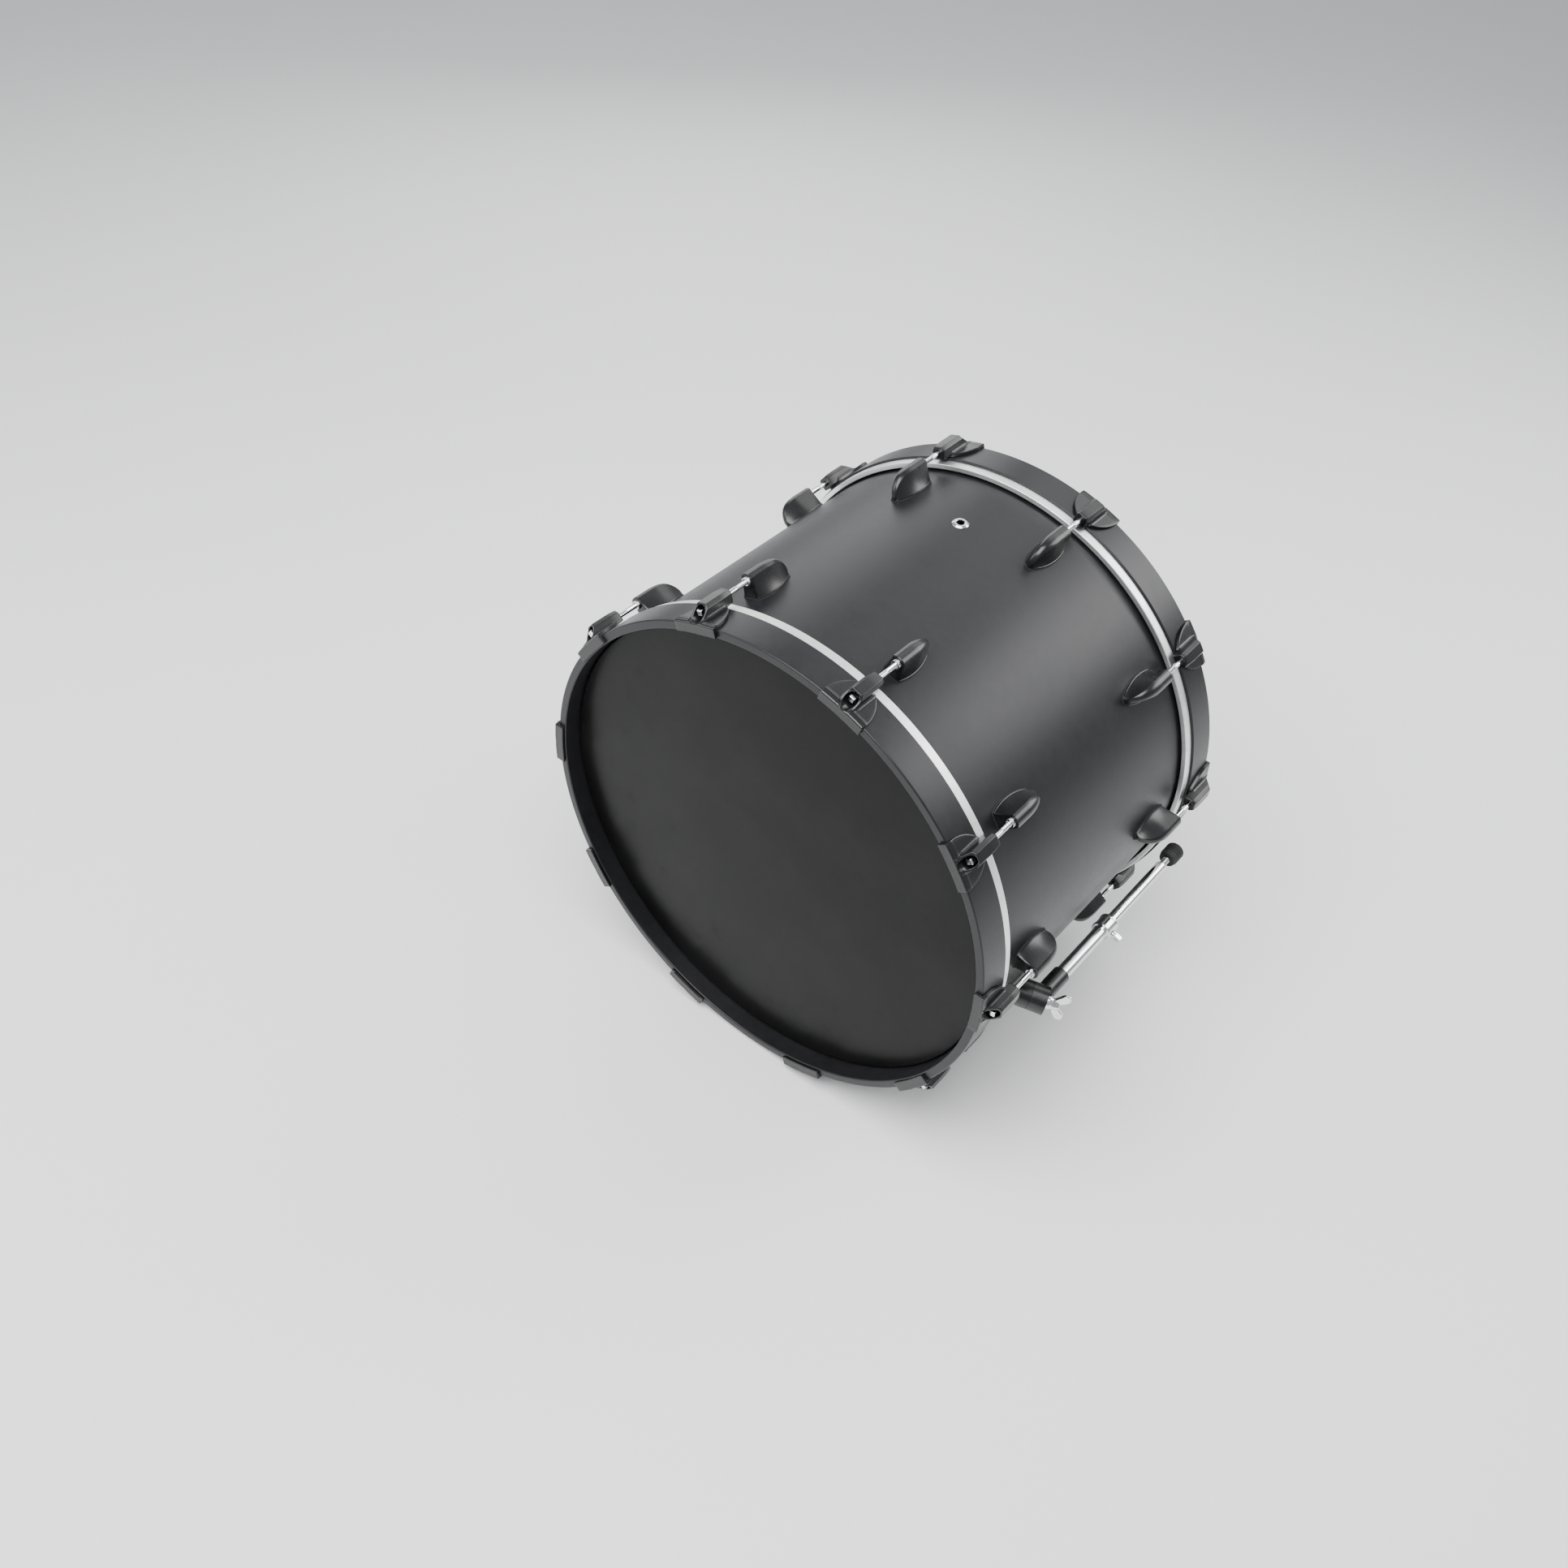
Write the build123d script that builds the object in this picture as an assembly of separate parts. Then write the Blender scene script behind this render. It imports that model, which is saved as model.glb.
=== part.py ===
from build123d import *
import math
import os

# A kit bass drum, 22 inches across and 16 inches deep, with ten lugs at each end and two folding spurs.
# All sizes are in millimetres. Y is the drum's axis: the front head faces -Y and the pedal side faces +Y. +Z is up.
# Pieces are drawn about the drum's centre. The whole drum is lifted at the end, to stand on z = 0.
# A piece that repeats is drawn once, at the top of the rear end, and then turned to its place.

# ---- Shell ----
SHELL_RADIUS = 277.8
SHELL_WALL = 7.5
SHELL_DEPTH = 406.4
BEARING_ROUND = 1.8
BEARING_CUT = 4.5

# ---- Heads ----
FILM_THICKNESS = 0.36
FILM_GAP = 0.3
COLLAR_DEPTH = 16.2
RING_WALL = 6.0
RING_WIDTH = 12.0
RING_GAP = 2.0
RING_GRIP = 3.0
GRIP_DEPTH = 5.0

# ---- Hoops ----
HOOP_WALL = 9.7
HOOP_WIDTH = 38.1
HOOP_GAP = 0.8
HOOP_ROUND = 1.5

# ---- Lugs ----
LUG_COUNT = 10
ROD_OFFSET = 8.5
LUG_SETBACK = 56.2
LUG_LENGTH = 56.0
LUG_FRONT_HALF = 8.0
LUG_WIDE_HALF = 13.6
LUG_TAIL_HALF = 5.4
LUG_TAIL_BULGE = 2.2
LUG_BARREL_RADIUS = 8.0
LUG_TOP_SETBACK = 6.0
GASKET_THICKNESS = 0.8
GASKET_LIP = 0.5
LUG_SCREW_INSET = 13.0
LUG_SCREW_SPACING = 30.0
LUG_SCREW_DEPTH = 8.0

# ---- Swivel nuts and tension rods ----
ROD_RADIUS = 2.8
RUNNING_CLEARANCE = 0.05
NUT_RADIUS = 5.0
NUT_LENGTH = 25.0
NUT_PROUD = 3.2
NUT_GROOVE = 0.7
ROD_PAST_NUT = 8.0
FLANGE_RADIUS = 5.8
FLANGE_THICKNESS = 1.6
KEY_SIDE = 6.35
KEY_HEIGHT = 9.0
ROD_WASHER_RADIUS = 6.1
ROD_WASHER_THICKNESS = 1.2

# ---- Claws ----
CLAW_WALL = 3.0
CLAW_HALF = 26.0
CLAW_NECK_HALF = 9.6
CLAW_EDGE_ROUND = 2.4
PAD_THICKNESS = 0.8
PAD_INSET = 2.0
HOOK_MARGIN = 1.2
BARREL_HALF = 8.6
BARREL_ROUND = 6.5
BARREL_OVERHANG = 9.0
BARREL_SETBACK = 4.0
BARREL_HEADROOM = 8.8
COUNTERBORE_RADIUS = 6.6
COUNTERBORE_DEPTH = 15.0
CLEARANCE_HOLE = 0.3

# ---- Screws from inside the shell ----
SCREW_RADIUS = 2.0
SPUR_SCREW_RADIUS = 2.5
SCREW_HEAD = 2.0
SCREW_HEAD_HEIGHT = 2.6
SCREW_WASHER = 4.0
SCREW_WASHER_THICKNESS = 1.0
THREAD_CLEARANCE = 0.05

# ---- Vent ----
VENT_Y = 90.0
VENT_BORE_RADIUS = 4.5
VENT_TUBE_WALL = 1.1
VENT_FLANGE_RADIUS = 9.3
VENT_FLANGE_THICKNESS = 1.2
VENT_WASHER_THICKNESS = 1.0
VENT_LIP = 1.0

# ---- Spurs ----
SPUR_ANGLE = 108.0
SPUR_Y = -95.0
SPUR_STAND_OFF = 30.2
SPUR_DOWN = (0.42, -0.42, -0.80)
BASE_LENGTH = 62.0
BASE_WIDTH = 48.0
BASE_THICKNESS = 7.0
BASE_CORNER = 12.0
SPUR_SCREW_Y = 21.0
SPUR_SCREW_SIDE = 15.0
SPUR_SCREW_DEPTH = 5.0
BOSS_RADIUS = 16.0
KNUCKLE_BELOW = 10.0
KNUCKLE_ABOVE = 8.0
KNUCKLE_GAP = 0.3
SLEEVE_WALL = 2.2
SLEEVE_END = 44.0
TUBE_RADIUS = 8.0
TUBE_WALL = 1.55
TUBE_START = 14.0
TUBE_END = 146.0
CLAMP_RADIUS = 11.5
CLAMP_LENGTH = 20.0
LEG_RADIUS = 6.35
LEG_START = 24.0
LEG_END = 262.0
SPIKE_RADIUS = 4.0
SPIKE_SHANK = 10.0
SPIKE_SHAFT = 22.0
SPIKE_CONE = 10.0
SPIKE_POINT = 0.6
FOOT_RADIUS = 11.0
FOOT_LENGTH = 22.0
FOOT_COVER = 3.0
FOOT_ROUND = 2.0
WING_BOLT_RADIUS = 4.0
WING_BOLT_GRIP = 14.0
WING_HUB_RADIUS = 8.0
WING_HUB_HEIGHT = 14.0
WING_SPAN = 21.0
WING_RISE = 9.0
WING_HEIGHT = 14.0
WING_THICKNESS = 4.0
WING_POCKET = 1.0
LOCK_HUB_RADIUS = 4.5
LOCK_HUB_HEIGHT = 3.0
LOCK_KEY_HEIGHT = 8.0

# ---- Places worked out from the sizes above ----
EDGE_Y = SHELL_DEPTH / 2
SHELL_INNER = SHELL_RADIUS - SHELL_WALL
FILM_INNER = SHELL_RADIUS + FILM_GAP
FILM_OUTER = FILM_INNER + FILM_THICKNESS
RING_INNER = FILM_OUTER + RING_GAP
RING_OUTER = RING_INNER + RING_WALL
RING_TOP = EDGE_Y - COLLAR_DEPTH
RING_BOTTOM = RING_TOP - RING_WIDTH
GRIP_Y = RING_TOP - GRIP_DEPTH
HOOP_INNER = FILM_OUTER + HOOP_GAP
HOOP_OUTER = HOOP_INNER + HOOP_WALL
HOOP_FACE = RING_TOP + HOOP_WIDTH
ROD_AXIS = HOOP_OUTER + ROD_OFFSET
GASKET_OUTER = SHELL_RADIUS + GASKET_THICKNESS
LUG_FRONT = EDGE_Y - LUG_SETBACK
LUG_TAIL = LUG_FRONT - LUG_LENGTH
PAD_OUTER = HOOP_OUTER + PAD_THICKNESS
PAD_FACE = HOOP_FACE + PAD_THICKNESS
CLAW_PLATE = PAD_OUTER + CLAW_WALL
CLAW_FACE = PAD_FACE + CLAW_WALL
BARREL_TOP = ROD_AXIS + BARREL_HEADROOM
BARREL_START = RING_TOP - BARREL_OVERHANG
BARREL_END = HOOP_FACE - BARREL_SETBACK
COUNTERBORE_FLOOR = BARREL_END - COUNTERBORE_DEPTH
FLANGE_SEAT = COUNTERBORE_FLOOR + ROD_WASHER_THICKNESS
NUT_OUTER_END = LUG_FRONT + NUT_PROUD
NUT_INNER_END = NUT_OUTER_END - NUT_LENGTH
ROD_END = NUT_INNER_END - ROD_PAST_NUT
LUG_ANGLES = [360 / LUG_COUNT * (place + 0.5) for place in range(LUG_COUNT)]
REAR = 1
FRONT = -1

# The drum stands on the barrels of its lowest claws, so the axis is as high as those barrels reach.
LOWEST_TILT = math.radians(min(abs(180 - angle) for angle in LUG_ANGLES))
AXIS_HEIGHT = (
    (BARREL_TOP - BARREL_ROUND) * math.cos(LOWEST_TILT)
    + (BARREL_HALF - BARREL_ROUND) * math.sin(LOWEST_TILT)
    + BARREL_ROUND
)

# The spur's hinge: its axis is the shell's normal at the bracket, leaned until one turn about it carries the
# leg from flat along the shell to its playing direction.
SPUR_NORMAL = Vector(math.sin(math.radians(SPUR_ANGLE)), 0, math.cos(math.radians(SPUR_ANGLE)))
LEG_FOLDED = Vector(0, 1, 0)
LEG_DOWN = Vector(*SPUR_DOWN).normalized()
LEG_SWING = LEG_DOWN - LEG_FOLDED
HINGE_AXIS = (SPUR_NORMAL - LEG_SWING * (SPUR_NORMAL.dot(LEG_SWING) / LEG_SWING.dot(LEG_SWING))).normalized()
HINGE_POINT = SPUR_NORMAL * (SHELL_RADIUS + SPUR_STAND_OFF) + Vector(0, SPUR_Y, 0)
BRACKET_POINT = HINGE_POINT - HINGE_AXIS * (SPUR_STAND_OFF / HINGE_AXIS.dot(SPUR_NORMAL))
BRACKET_ANGLE = math.degrees(math.atan2(BRACKET_POINT.X, BRACKET_POINT.Z))
SLEEVE_RADIUS = TUBE_RADIUS + SLEEVE_WALL
FOOT_END = LEG_END + SPIKE_SHAFT + SPIKE_CONE + FOOT_COVER
FOOT_START = FOOT_END - FOOT_LENGTH


def turned(points, rounds=None):
    """A ring turned about the drum's axis from (radius, y) points, with some of its corners rounded."""
    profile = make_face(Polyline(*points, close=True))
    for corner, radius in (rounds or {}).items():
        nearest = profile.vertices().sort_by_distance((*points[corner], 0))[0]
        profile = fillet(nearest, radius)
    return revolve(profile, Axis.Y)


def placed(piece, angle, end=REAR):
    """A piece drawn at the top of the rear end, moved to an angle from the top of either end."""
    if end == FRONT:
        piece = Rot(0, 0, 180) * piece
    return Rot(0, angle, 0) * piece


def mirrored(piece, end):
    """A ring drawn for the rear end, or its mirror image for the front end."""
    return piece if end == REAR else mirror(piece, about=Plane.XZ)


def along_y(radius, start, end, height=0.0):
    """A cylinder along the drum's axis direction, at a height above the axis."""
    place = Plane((0, start, height), x_dir=(1, 0, 0), z_dir=(0, 1, 0))
    return place * Cylinder(radius, end - start, align=(Align.CENTER, Align.CENTER, Align.MIN))


def upright(radius, bottom, top, y=0.0):
    """A cylinder along a radius of the drum, at its top."""
    return Pos(0, y, bottom) * Cylinder(radius, top - bottom, align=(Align.CENTER, Align.CENTER, Align.MIN))


def along(direction, start, end, radius):
    """A cylinder about a line through the right spur's hinge point, from one distance along it to another."""
    place = Plane(HINGE_POINT + direction * start, z_dir=direction)
    return place * Cylinder(radius, end - start, align=(Align.CENTER, Align.CENTER, Align.MIN))


def shell_solid(radius):
    """A long cylinder about the drum's axis, for cutting a piece to the shell's curve."""
    return along_y(radius, -SHELL_DEPTH, SHELL_DEPTH)


def seat_height(half_width):
    """The height at which a flat washer of a half width touches the inside of the shell."""
    return math.sqrt(SHELL_INNER**2 - half_width**2) - 0.01


# ---- Shell and vent ----
def lug_screw_places():
    """The distances from the drum's middle of a lug's two screws."""
    outer = LUG_FRONT - LUG_SCREW_INSET
    return (outer, outer - LUG_SCREW_SPACING)


def spur_screw_places():
    """The angle and y of each of a right bracket's four screws."""
    side = math.degrees(SPUR_SCREW_SIDE / SHELL_RADIUS)
    signs = [(a, b) for a in (-1, 1) for b in (-1, 1)]
    return [(BRACKET_ANGLE + a * side, BRACKET_POINT.Y + b * SPUR_SCREW_Y) for a, b in signs]


def shell():
    """The shell, with its bearing edges and the holes for the vent and the screws."""
    body = turned(
        [
            (SHELL_INNER, -EDGE_Y + BEARING_CUT),
            (SHELL_INNER + BEARING_CUT, -EDGE_Y),
            (SHELL_RADIUS, -EDGE_Y),
            (SHELL_RADIUS, EDGE_Y),
            (SHELL_INNER + BEARING_CUT, EDGE_Y),
            (SHELL_INNER, EDGE_Y - BEARING_CUT),
        ],
        {2: BEARING_ROUND, 3: BEARING_ROUND},
    )
    inside = SHELL_INNER - SHELL_WALL
    outside = SHELL_RADIUS + SHELL_WALL
    lug_hole = SCREW_RADIUS + CLEARANCE_HOLE
    spur_hole = SPUR_SCREW_RADIUS + CLEARANCE_HOLE
    vent_hole = VENT_BORE_RADIUS + VENT_TUBE_WALL + CLEARANCE_HOLE
    holes = [upright(vent_hole, inside, outside, VENT_Y)]
    for angle in LUG_ANGLES:
        for y in lug_screw_places():
            holes.append(placed(upright(lug_hole, inside, outside, y), angle))
            holes.append(placed(upright(lug_hole, inside, outside, -y), angle))
    for angle, y in spur_screw_places():
        holes.append(placed(upright(spur_hole, inside, outside, y), angle))
        holes.append(placed(upright(spur_hole, inside, outside, y), -angle))
    return body - holes


def vent_eyelet():
    """The vent's flanged tube, rolled over the washer inside the shell."""
    tube_radius = VENT_BORE_RADIUS + VENT_TUBE_WALL
    washer_bottom = seat_height(VENT_FLANGE_RADIUS) - VENT_WASHER_THICKNESS
    flange = upright(VENT_FLANGE_RADIUS, SHELL_RADIUS, SHELL_RADIUS + VENT_FLANGE_THICKNESS, VENT_Y)
    flange = chamfer(flange.faces().sort_by(Axis.Z)[-1].edges(), VENT_FLANGE_THICKNESS / 2)
    tube = upright(tube_radius, washer_bottom - VENT_LIP, SHELL_RADIUS + VENT_FLANGE_THICKNESS, VENT_Y)
    lip = upright(tube_radius + VENT_LIP, washer_bottom - VENT_LIP, washer_bottom, VENT_Y)
    bore = upright(VENT_BORE_RADIUS, SHELL_INNER - SHELL_WALL, SHELL_RADIUS + SHELL_WALL, VENT_Y)
    return flange + tube + lip - bore


def vent_washer():
    """The washer inside the shell that the eyelet is set on."""
    top = seat_height(VENT_FLANGE_RADIUS)
    hole = VENT_BORE_RADIUS + VENT_TUBE_WALL + THREAD_CLEARANCE
    disc = upright(VENT_FLANGE_RADIUS, top - VENT_WASHER_THICKNESS, top, VENT_Y)
    return disc - upright(hole, top - SHELL_WALL, top + SHELL_WALL, VENT_Y)


# ---- Heads and hoops ----
def head_film(end):
    """A drumhead's film: flat over the bearing edge, then down a collar to a rim held in the ring."""
    film = turned(
        [
            (0, EDGE_Y),
            (FILM_INNER, EDGE_Y),
            (FILM_INNER, GRIP_Y),
            (RING_INNER + RING_GRIP, GRIP_Y),
            (RING_INNER + RING_GRIP, GRIP_Y + FILM_THICKNESS),
            (FILM_OUTER, GRIP_Y + FILM_THICKNESS),
            (FILM_OUTER, EDGE_Y + FILM_THICKNESS),
            (0, EDGE_Y + FILM_THICKNESS),
        ],
        {1: BEARING_ROUND, 6: BEARING_ROUND + FILM_THICKNESS},
    )
    return mirrored(film, end)


def head_ring(end):
    """A head's aluminium ring, with a slot that holds the film's rim."""
    ring = turned(
        [
            (RING_INNER, RING_BOTTOM),
            (RING_OUTER, RING_BOTTOM),
            (RING_OUTER, RING_TOP),
            (RING_INNER, RING_TOP),
            (RING_INNER, GRIP_Y + FILM_THICKNESS),
            (RING_INNER + RING_GRIP, GRIP_Y + FILM_THICKNESS),
            (RING_INNER + RING_GRIP, GRIP_Y),
            (RING_INNER, GRIP_Y),
        ],
        {1: HOOP_ROUND / 2, 2: HOOP_ROUND / 2},
    )
    return mirrored(ring, end)


def hoop(end):
    """A wooden hoop, seated on the head's ring."""
    ring = turned(
        [
            (HOOP_INNER, RING_TOP),
            (HOOP_OUTER, RING_TOP),
            (HOOP_OUTER, HOOP_FACE),
            (HOOP_INNER, HOOP_FACE),
        ],
        {1: HOOP_ROUND / 2, 2: HOOP_ROUND, 3: HOOP_ROUND},
    )
    return mirrored(ring, end)


# ---- Claws ----
def claw_outline(inset):
    """A claw's shield shape seen from outside the drum, drawn in from its edge by an inset."""
    half = CLAW_HALF - inset
    neck = CLAW_NECK_HALF - inset
    start = RING_TOP + PAD_INSET + inset
    shoulder = CLAW_FACE - CLAW_WALL
    bulge_y = start + 0.38 * (shoulder - start)
    bulge_x = neck + 0.72 * (half - neck)
    return make_face(
        [
            Line((-half, CLAW_FACE), (half, CLAW_FACE)),
            Line((half, CLAW_FACE), (half, shoulder)),
            ThreePointArc((half, shoulder), (bulge_x, bulge_y), (neck, start)),
            Line((neck, start), (-neck, start)),
            ThreePointArc((-neck, start), (-bulge_x, bulge_y), (-half, shoulder)),
            Line((-half, shoulder), (-half, CLAW_FACE)),
        ]
    )


def claw_blank(inset):
    """The claw's outline as a tall block, from inside the hoop to above the barrel."""
    return Pos(0, 0, SHELL_INNER) * extrude(claw_outline(inset), amount=BARREL_TOP - SHELL_INNER)


def claw():
    """One claw: a plate over the hoop, a hook over its face, and a barrel for the rod's head."""
    hook = turned(
        [
            (HOOP_INNER + HOOK_MARGIN, PAD_FACE),
            (PAD_OUTER, PAD_FACE),
            (PAD_OUTER, RING_TOP),
            (CLAW_PLATE, RING_TOP),
            (CLAW_PLATE, CLAW_FACE),
            (HOOP_INNER + HOOK_MARGIN, CLAW_FACE),
        ],
        {4: CLAW_EDGE_ROUND},
    )
    plate = hook & claw_blank(0)
    section = Plane((0, BARREL_START, 0), x_dir=(-1, 0, 0), z_dir=(0, 1, 0)) * Pos(0, PAD_OUTER) * Rectangle(
        2 * BARREL_HALF, BARREL_TOP - PAD_OUTER, align=(Align.CENTER, Align.MIN)
    )
    corners = section.vertices().sort_by(Axis.Z)[-2:]
    section = fillet(corners, BARREL_ROUND)
    barrel = extrude(section, amount=BARREL_END - BARREL_START) - shell_solid(PAD_OUTER)
    bore = along_y(ROD_RADIUS + CLEARANCE_HOLE, BARREL_START - 1, CLAW_FACE + 1, ROD_AXIS)
    pocket = along_y(COUNTERBORE_RADIUS, COUNTERBORE_FLOOR, CLAW_FACE + 1, ROD_AXIS)
    return plate + barrel - bore - pocket


def claw_pad():
    """The rubber pad between a claw and the hoop."""
    strip = turned(
        [
            (HOOP_INNER + HOOK_MARGIN + PAD_INSET, HOOP_FACE),
            (HOOP_OUTER, HOOP_FACE),
            (HOOP_OUTER, RING_TOP),
            (PAD_OUTER, RING_TOP),
            (PAD_OUTER, PAD_FACE),
            (HOOP_INNER + HOOK_MARGIN + PAD_INSET, PAD_FACE),
        ]
    )
    return strip & claw_blank(PAD_THICKNESS)


def rod_washer():
    """The washer in a claw's counterbore, under a tension rod's flange."""
    disc = along_y(ROD_WASHER_RADIUS, COUNTERBORE_FLOOR, FLANGE_SEAT, ROD_AXIS)
    return disc - along_y(ROD_RADIUS + CLEARANCE_HOLE, COUNTERBORE_FLOOR - 1, FLANGE_SEAT + 1, ROD_AXIS)


# ---- Lugs ----
def leaf(front_half, wide_half, tail_half, tail_y, height):
    """A lug's outline at a height: narrow at the front, widest near its middle, with a rounded tail."""
    wide_y = LUG_FRONT - 0.45 * (LUG_FRONT - tail_y)
    tail_corner = tail_y + LUG_TAIL_BULGE
    outline = make_face(
        [
            Line((-front_half, LUG_FRONT), (front_half, LUG_FRONT)),
            ThreePointArc((front_half, LUG_FRONT), (wide_half, wide_y), (tail_half, tail_corner)),
            ThreePointArc((tail_half, tail_corner), (0, tail_y), (-tail_half, tail_corner)),
            ThreePointArc((-tail_half, tail_corner), (-wide_half, wide_y), (-front_half, LUG_FRONT)),
        ]
    )
    return Pos(0, 0, height) * outline


def lug():
    """One single-ended lug: a leaf-shaped foot that rises to a barrel, bored for its swivel nut."""
    foot = leaf(LUG_FRONT_HALF, LUG_WIDE_HALF, LUG_TAIL_HALF, LUG_TAIL, SHELL_INNER)
    ridge = leaf(
        LUG_BARREL_RADIUS - 0.4, LUG_BARREL_RADIUS, LUG_TAIL_HALF, LUG_TAIL + LUG_TOP_SETBACK, ROD_AXIS
    )
    sides = loft([foot, ridge])
    cap = along_y(LUG_BARREL_RADIUS, LUG_TAIL, LUG_FRONT, ROD_AXIS) & extrude(ridge, amount=LUG_BARREL_RADIUS)
    body = sides + cap - shell_solid(GASKET_OUTER)
    body -= along_y(NUT_RADIUS + THREAD_CLEARANCE, NUT_INNER_END - 1, LUG_FRONT + 1, ROD_AXIS)
    body -= along_y(ROD_RADIUS + 2 * CLEARANCE_HOLE, ROD_END - 2, LUG_FRONT, ROD_AXIS)
    for y in lug_screw_places():
        top = GASKET_OUTER + LUG_SCREW_DEPTH + CLEARANCE_HOLE
        body -= upright(SCREW_RADIUS + THREAD_CLEARANCE, SHELL_INNER, top, y)
    return body


def lug_gasket():
    """The thin gasket between a lug and the shell, a little wider than the lug."""
    outline = leaf(
        LUG_FRONT_HALF + GASKET_LIP,
        LUG_WIDE_HALF + GASKET_LIP,
        LUG_TAIL_HALF + GASKET_LIP,
        LUG_TAIL - GASKET_LIP,
        SHELL_INNER,
    )
    sheet = extrude(outline, amount=ROD_AXIS - SHELL_INNER) & shell_solid(GASKET_OUTER)
    sheet -= shell_solid(SHELL_RADIUS)
    for y in lug_screw_places():
        sheet -= upright(SCREW_RADIUS + CLEARANCE_HOLE, SHELL_INNER, ROD_AXIS, y)
    return sheet


def swivel_nut():
    """The nut that a tension rod threads into, with the grooved collar that shows at the lug's front."""
    nut = along_y(NUT_RADIUS, NUT_INNER_END, NUT_OUTER_END, ROD_AXIS)
    groove_y = LUG_FRONT + NUT_PROUD / 3
    groove = along_y(NUT_RADIUS + 1, groove_y, groove_y + NUT_GROOVE, ROD_AXIS)
    groove -= along_y(NUT_RADIUS - NUT_GROOVE, groove_y - 1, groove_y + NUT_GROOVE + 1, ROD_AXIS)
    bore = along_y(ROD_RADIUS + RUNNING_CLEARANCE, NUT_INNER_END - 1, NUT_OUTER_END + 1, ROD_AXIS)
    return nut - groove - bore


def tension_rod():
    """One tension rod: a shaft, a flange and a square head for a drum key."""
    shaft = along_y(ROD_RADIUS, ROD_END, FLANGE_SEAT, ROD_AXIS)
    shaft = chamfer(shaft.faces().sort_by(Axis.Y)[0].edges(), ROD_RADIUS / 4)
    flange = along_y(FLANGE_RADIUS, FLANGE_SEAT, FLANGE_SEAT + FLANGE_THICKNESS, ROD_AXIS)
    flange = fillet(flange.faces().sort_by(Axis.Y)[-1].edges(), FLANGE_THICKNESS / 2)
    key = Pos(0, FLANGE_SEAT + FLANGE_THICKNESS / 2, ROD_AXIS) * Box(
        KEY_SIDE,
        KEY_HEIGHT + FLANGE_THICKNESS / 2,
        KEY_SIDE,
        align=(Align.CENTER, Align.MIN, Align.CENTER),
    )
    key = chamfer(key.faces().sort_by(Axis.Y)[-1].edges(), KEY_SIDE / 10)
    return shaft + flange + key


def shell_screw(radius, reach, y):
    """A washer-head screw put in from inside the shell, at the top, reaching to a height."""
    washer_radius = radius + SCREW_WASHER
    seat = seat_height(washer_radius)
    washer_bottom = seat - SCREW_WASHER_THICKNESS
    washer = upright(washer_radius, washer_bottom, seat, y)
    head = upright(radius + SCREW_HEAD, washer_bottom - SCREW_HEAD_HEIGHT, washer_bottom, y)
    head = fillet(head.faces().sort_by(Axis.Z)[0].edges(), SCREW_HEAD_HEIGHT / 3)
    return washer + head + upright(radius, seat, reach, y)


# ---- Spurs, drawn for the right side ----
def spur_base_outline():
    """The bracket's rounded foot, seen along the shell's normal and drawn at the drum's top."""
    outline = RectangleRounded(BASE_WIDTH, BASE_LENGTH, BASE_CORNER)
    return Pos(0, BRACKET_POINT.Y, SHELL_INNER) * outline


def spur_bracket():
    """The bracket: a foot curved to the shell and a boss that carries the hinge."""
    foot_height = GASKET_OUTER + BASE_THICKNESS - SHELL_INNER
    foot = extrude(spur_base_outline(), amount=foot_height)
    foot = fillet(foot.faces().sort_by(Axis.Z)[-1].edges(), BASE_THICKNESS / 4)
    boss_top = -KNUCKLE_BELOW - KNUCKLE_GAP
    boss_bottom = -SPUR_STAND_OFF / HINGE_AXIS.dot(SPUR_NORMAL) - BASE_THICKNESS
    boss = along(HINGE_AXIS, boss_bottom, boss_top, BOSS_RADIUS)
    body = placed(foot, BRACKET_ANGLE) + boss - shell_solid(GASKET_OUTER)
    body -= along(HINGE_AXIS, boss_top - WING_BOLT_GRIP - 1, 0, WING_BOLT_RADIUS + THREAD_CLEARANCE)
    hole_top = GASKET_OUTER + SPUR_SCREW_DEPTH + CLEARANCE_HOLE
    for angle, y in spur_screw_places():
        body -= placed(upright(SPUR_SCREW_RADIUS + THREAD_CLEARANCE, SHELL_INNER, hole_top, y), angle)
    return body


def spur_gasket():
    """The gasket between the bracket and the shell."""
    sheet = placed(extrude(spur_base_outline(), amount=ROD_AXIS - SHELL_INNER), BRACKET_ANGLE)
    sheet = (sheet & shell_solid(GASKET_OUTER)) - shell_solid(SHELL_RADIUS)
    for angle, y in spur_screw_places():
        sheet -= placed(upright(SPUR_SCREW_RADIUS + CLEARANCE_HOLE, SHELL_INNER, ROD_AXIS, y), angle)
    return sheet


def spur_knuckle():
    """The knuckle that turns on the bracket's boss and holds the leg's outer tube in a sleeve."""
    disc = along(HINGE_AXIS, -KNUCKLE_BELOW, KNUCKLE_ABOVE, BOSS_RADIUS)
    sleeve = along(LEG_FOLDED, 0, SLEEVE_END, SLEEVE_RADIUS)
    clear = along(HINGE_AXIS, -KNUCKLE_BELOW, SLEEVE_END, 2 * SLEEVE_END)
    body = disc + (sleeve & clear)
    body -= along(LEG_FOLDED, TUBE_START, SLEEVE_END + 1, TUBE_RADIUS + THREAD_CLEARANCE)
    body -= along(HINGE_AXIS, -KNUCKLE_BELOW - 1, SLEEVE_END, WING_BOLT_RADIUS + 2 * RUNNING_CLEARANCE)
    body -= along(HINGE_AXIS, KNUCKLE_ABOVE, SLEEVE_END, WING_HUB_RADIUS + WING_POCKET)
    return body


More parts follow.
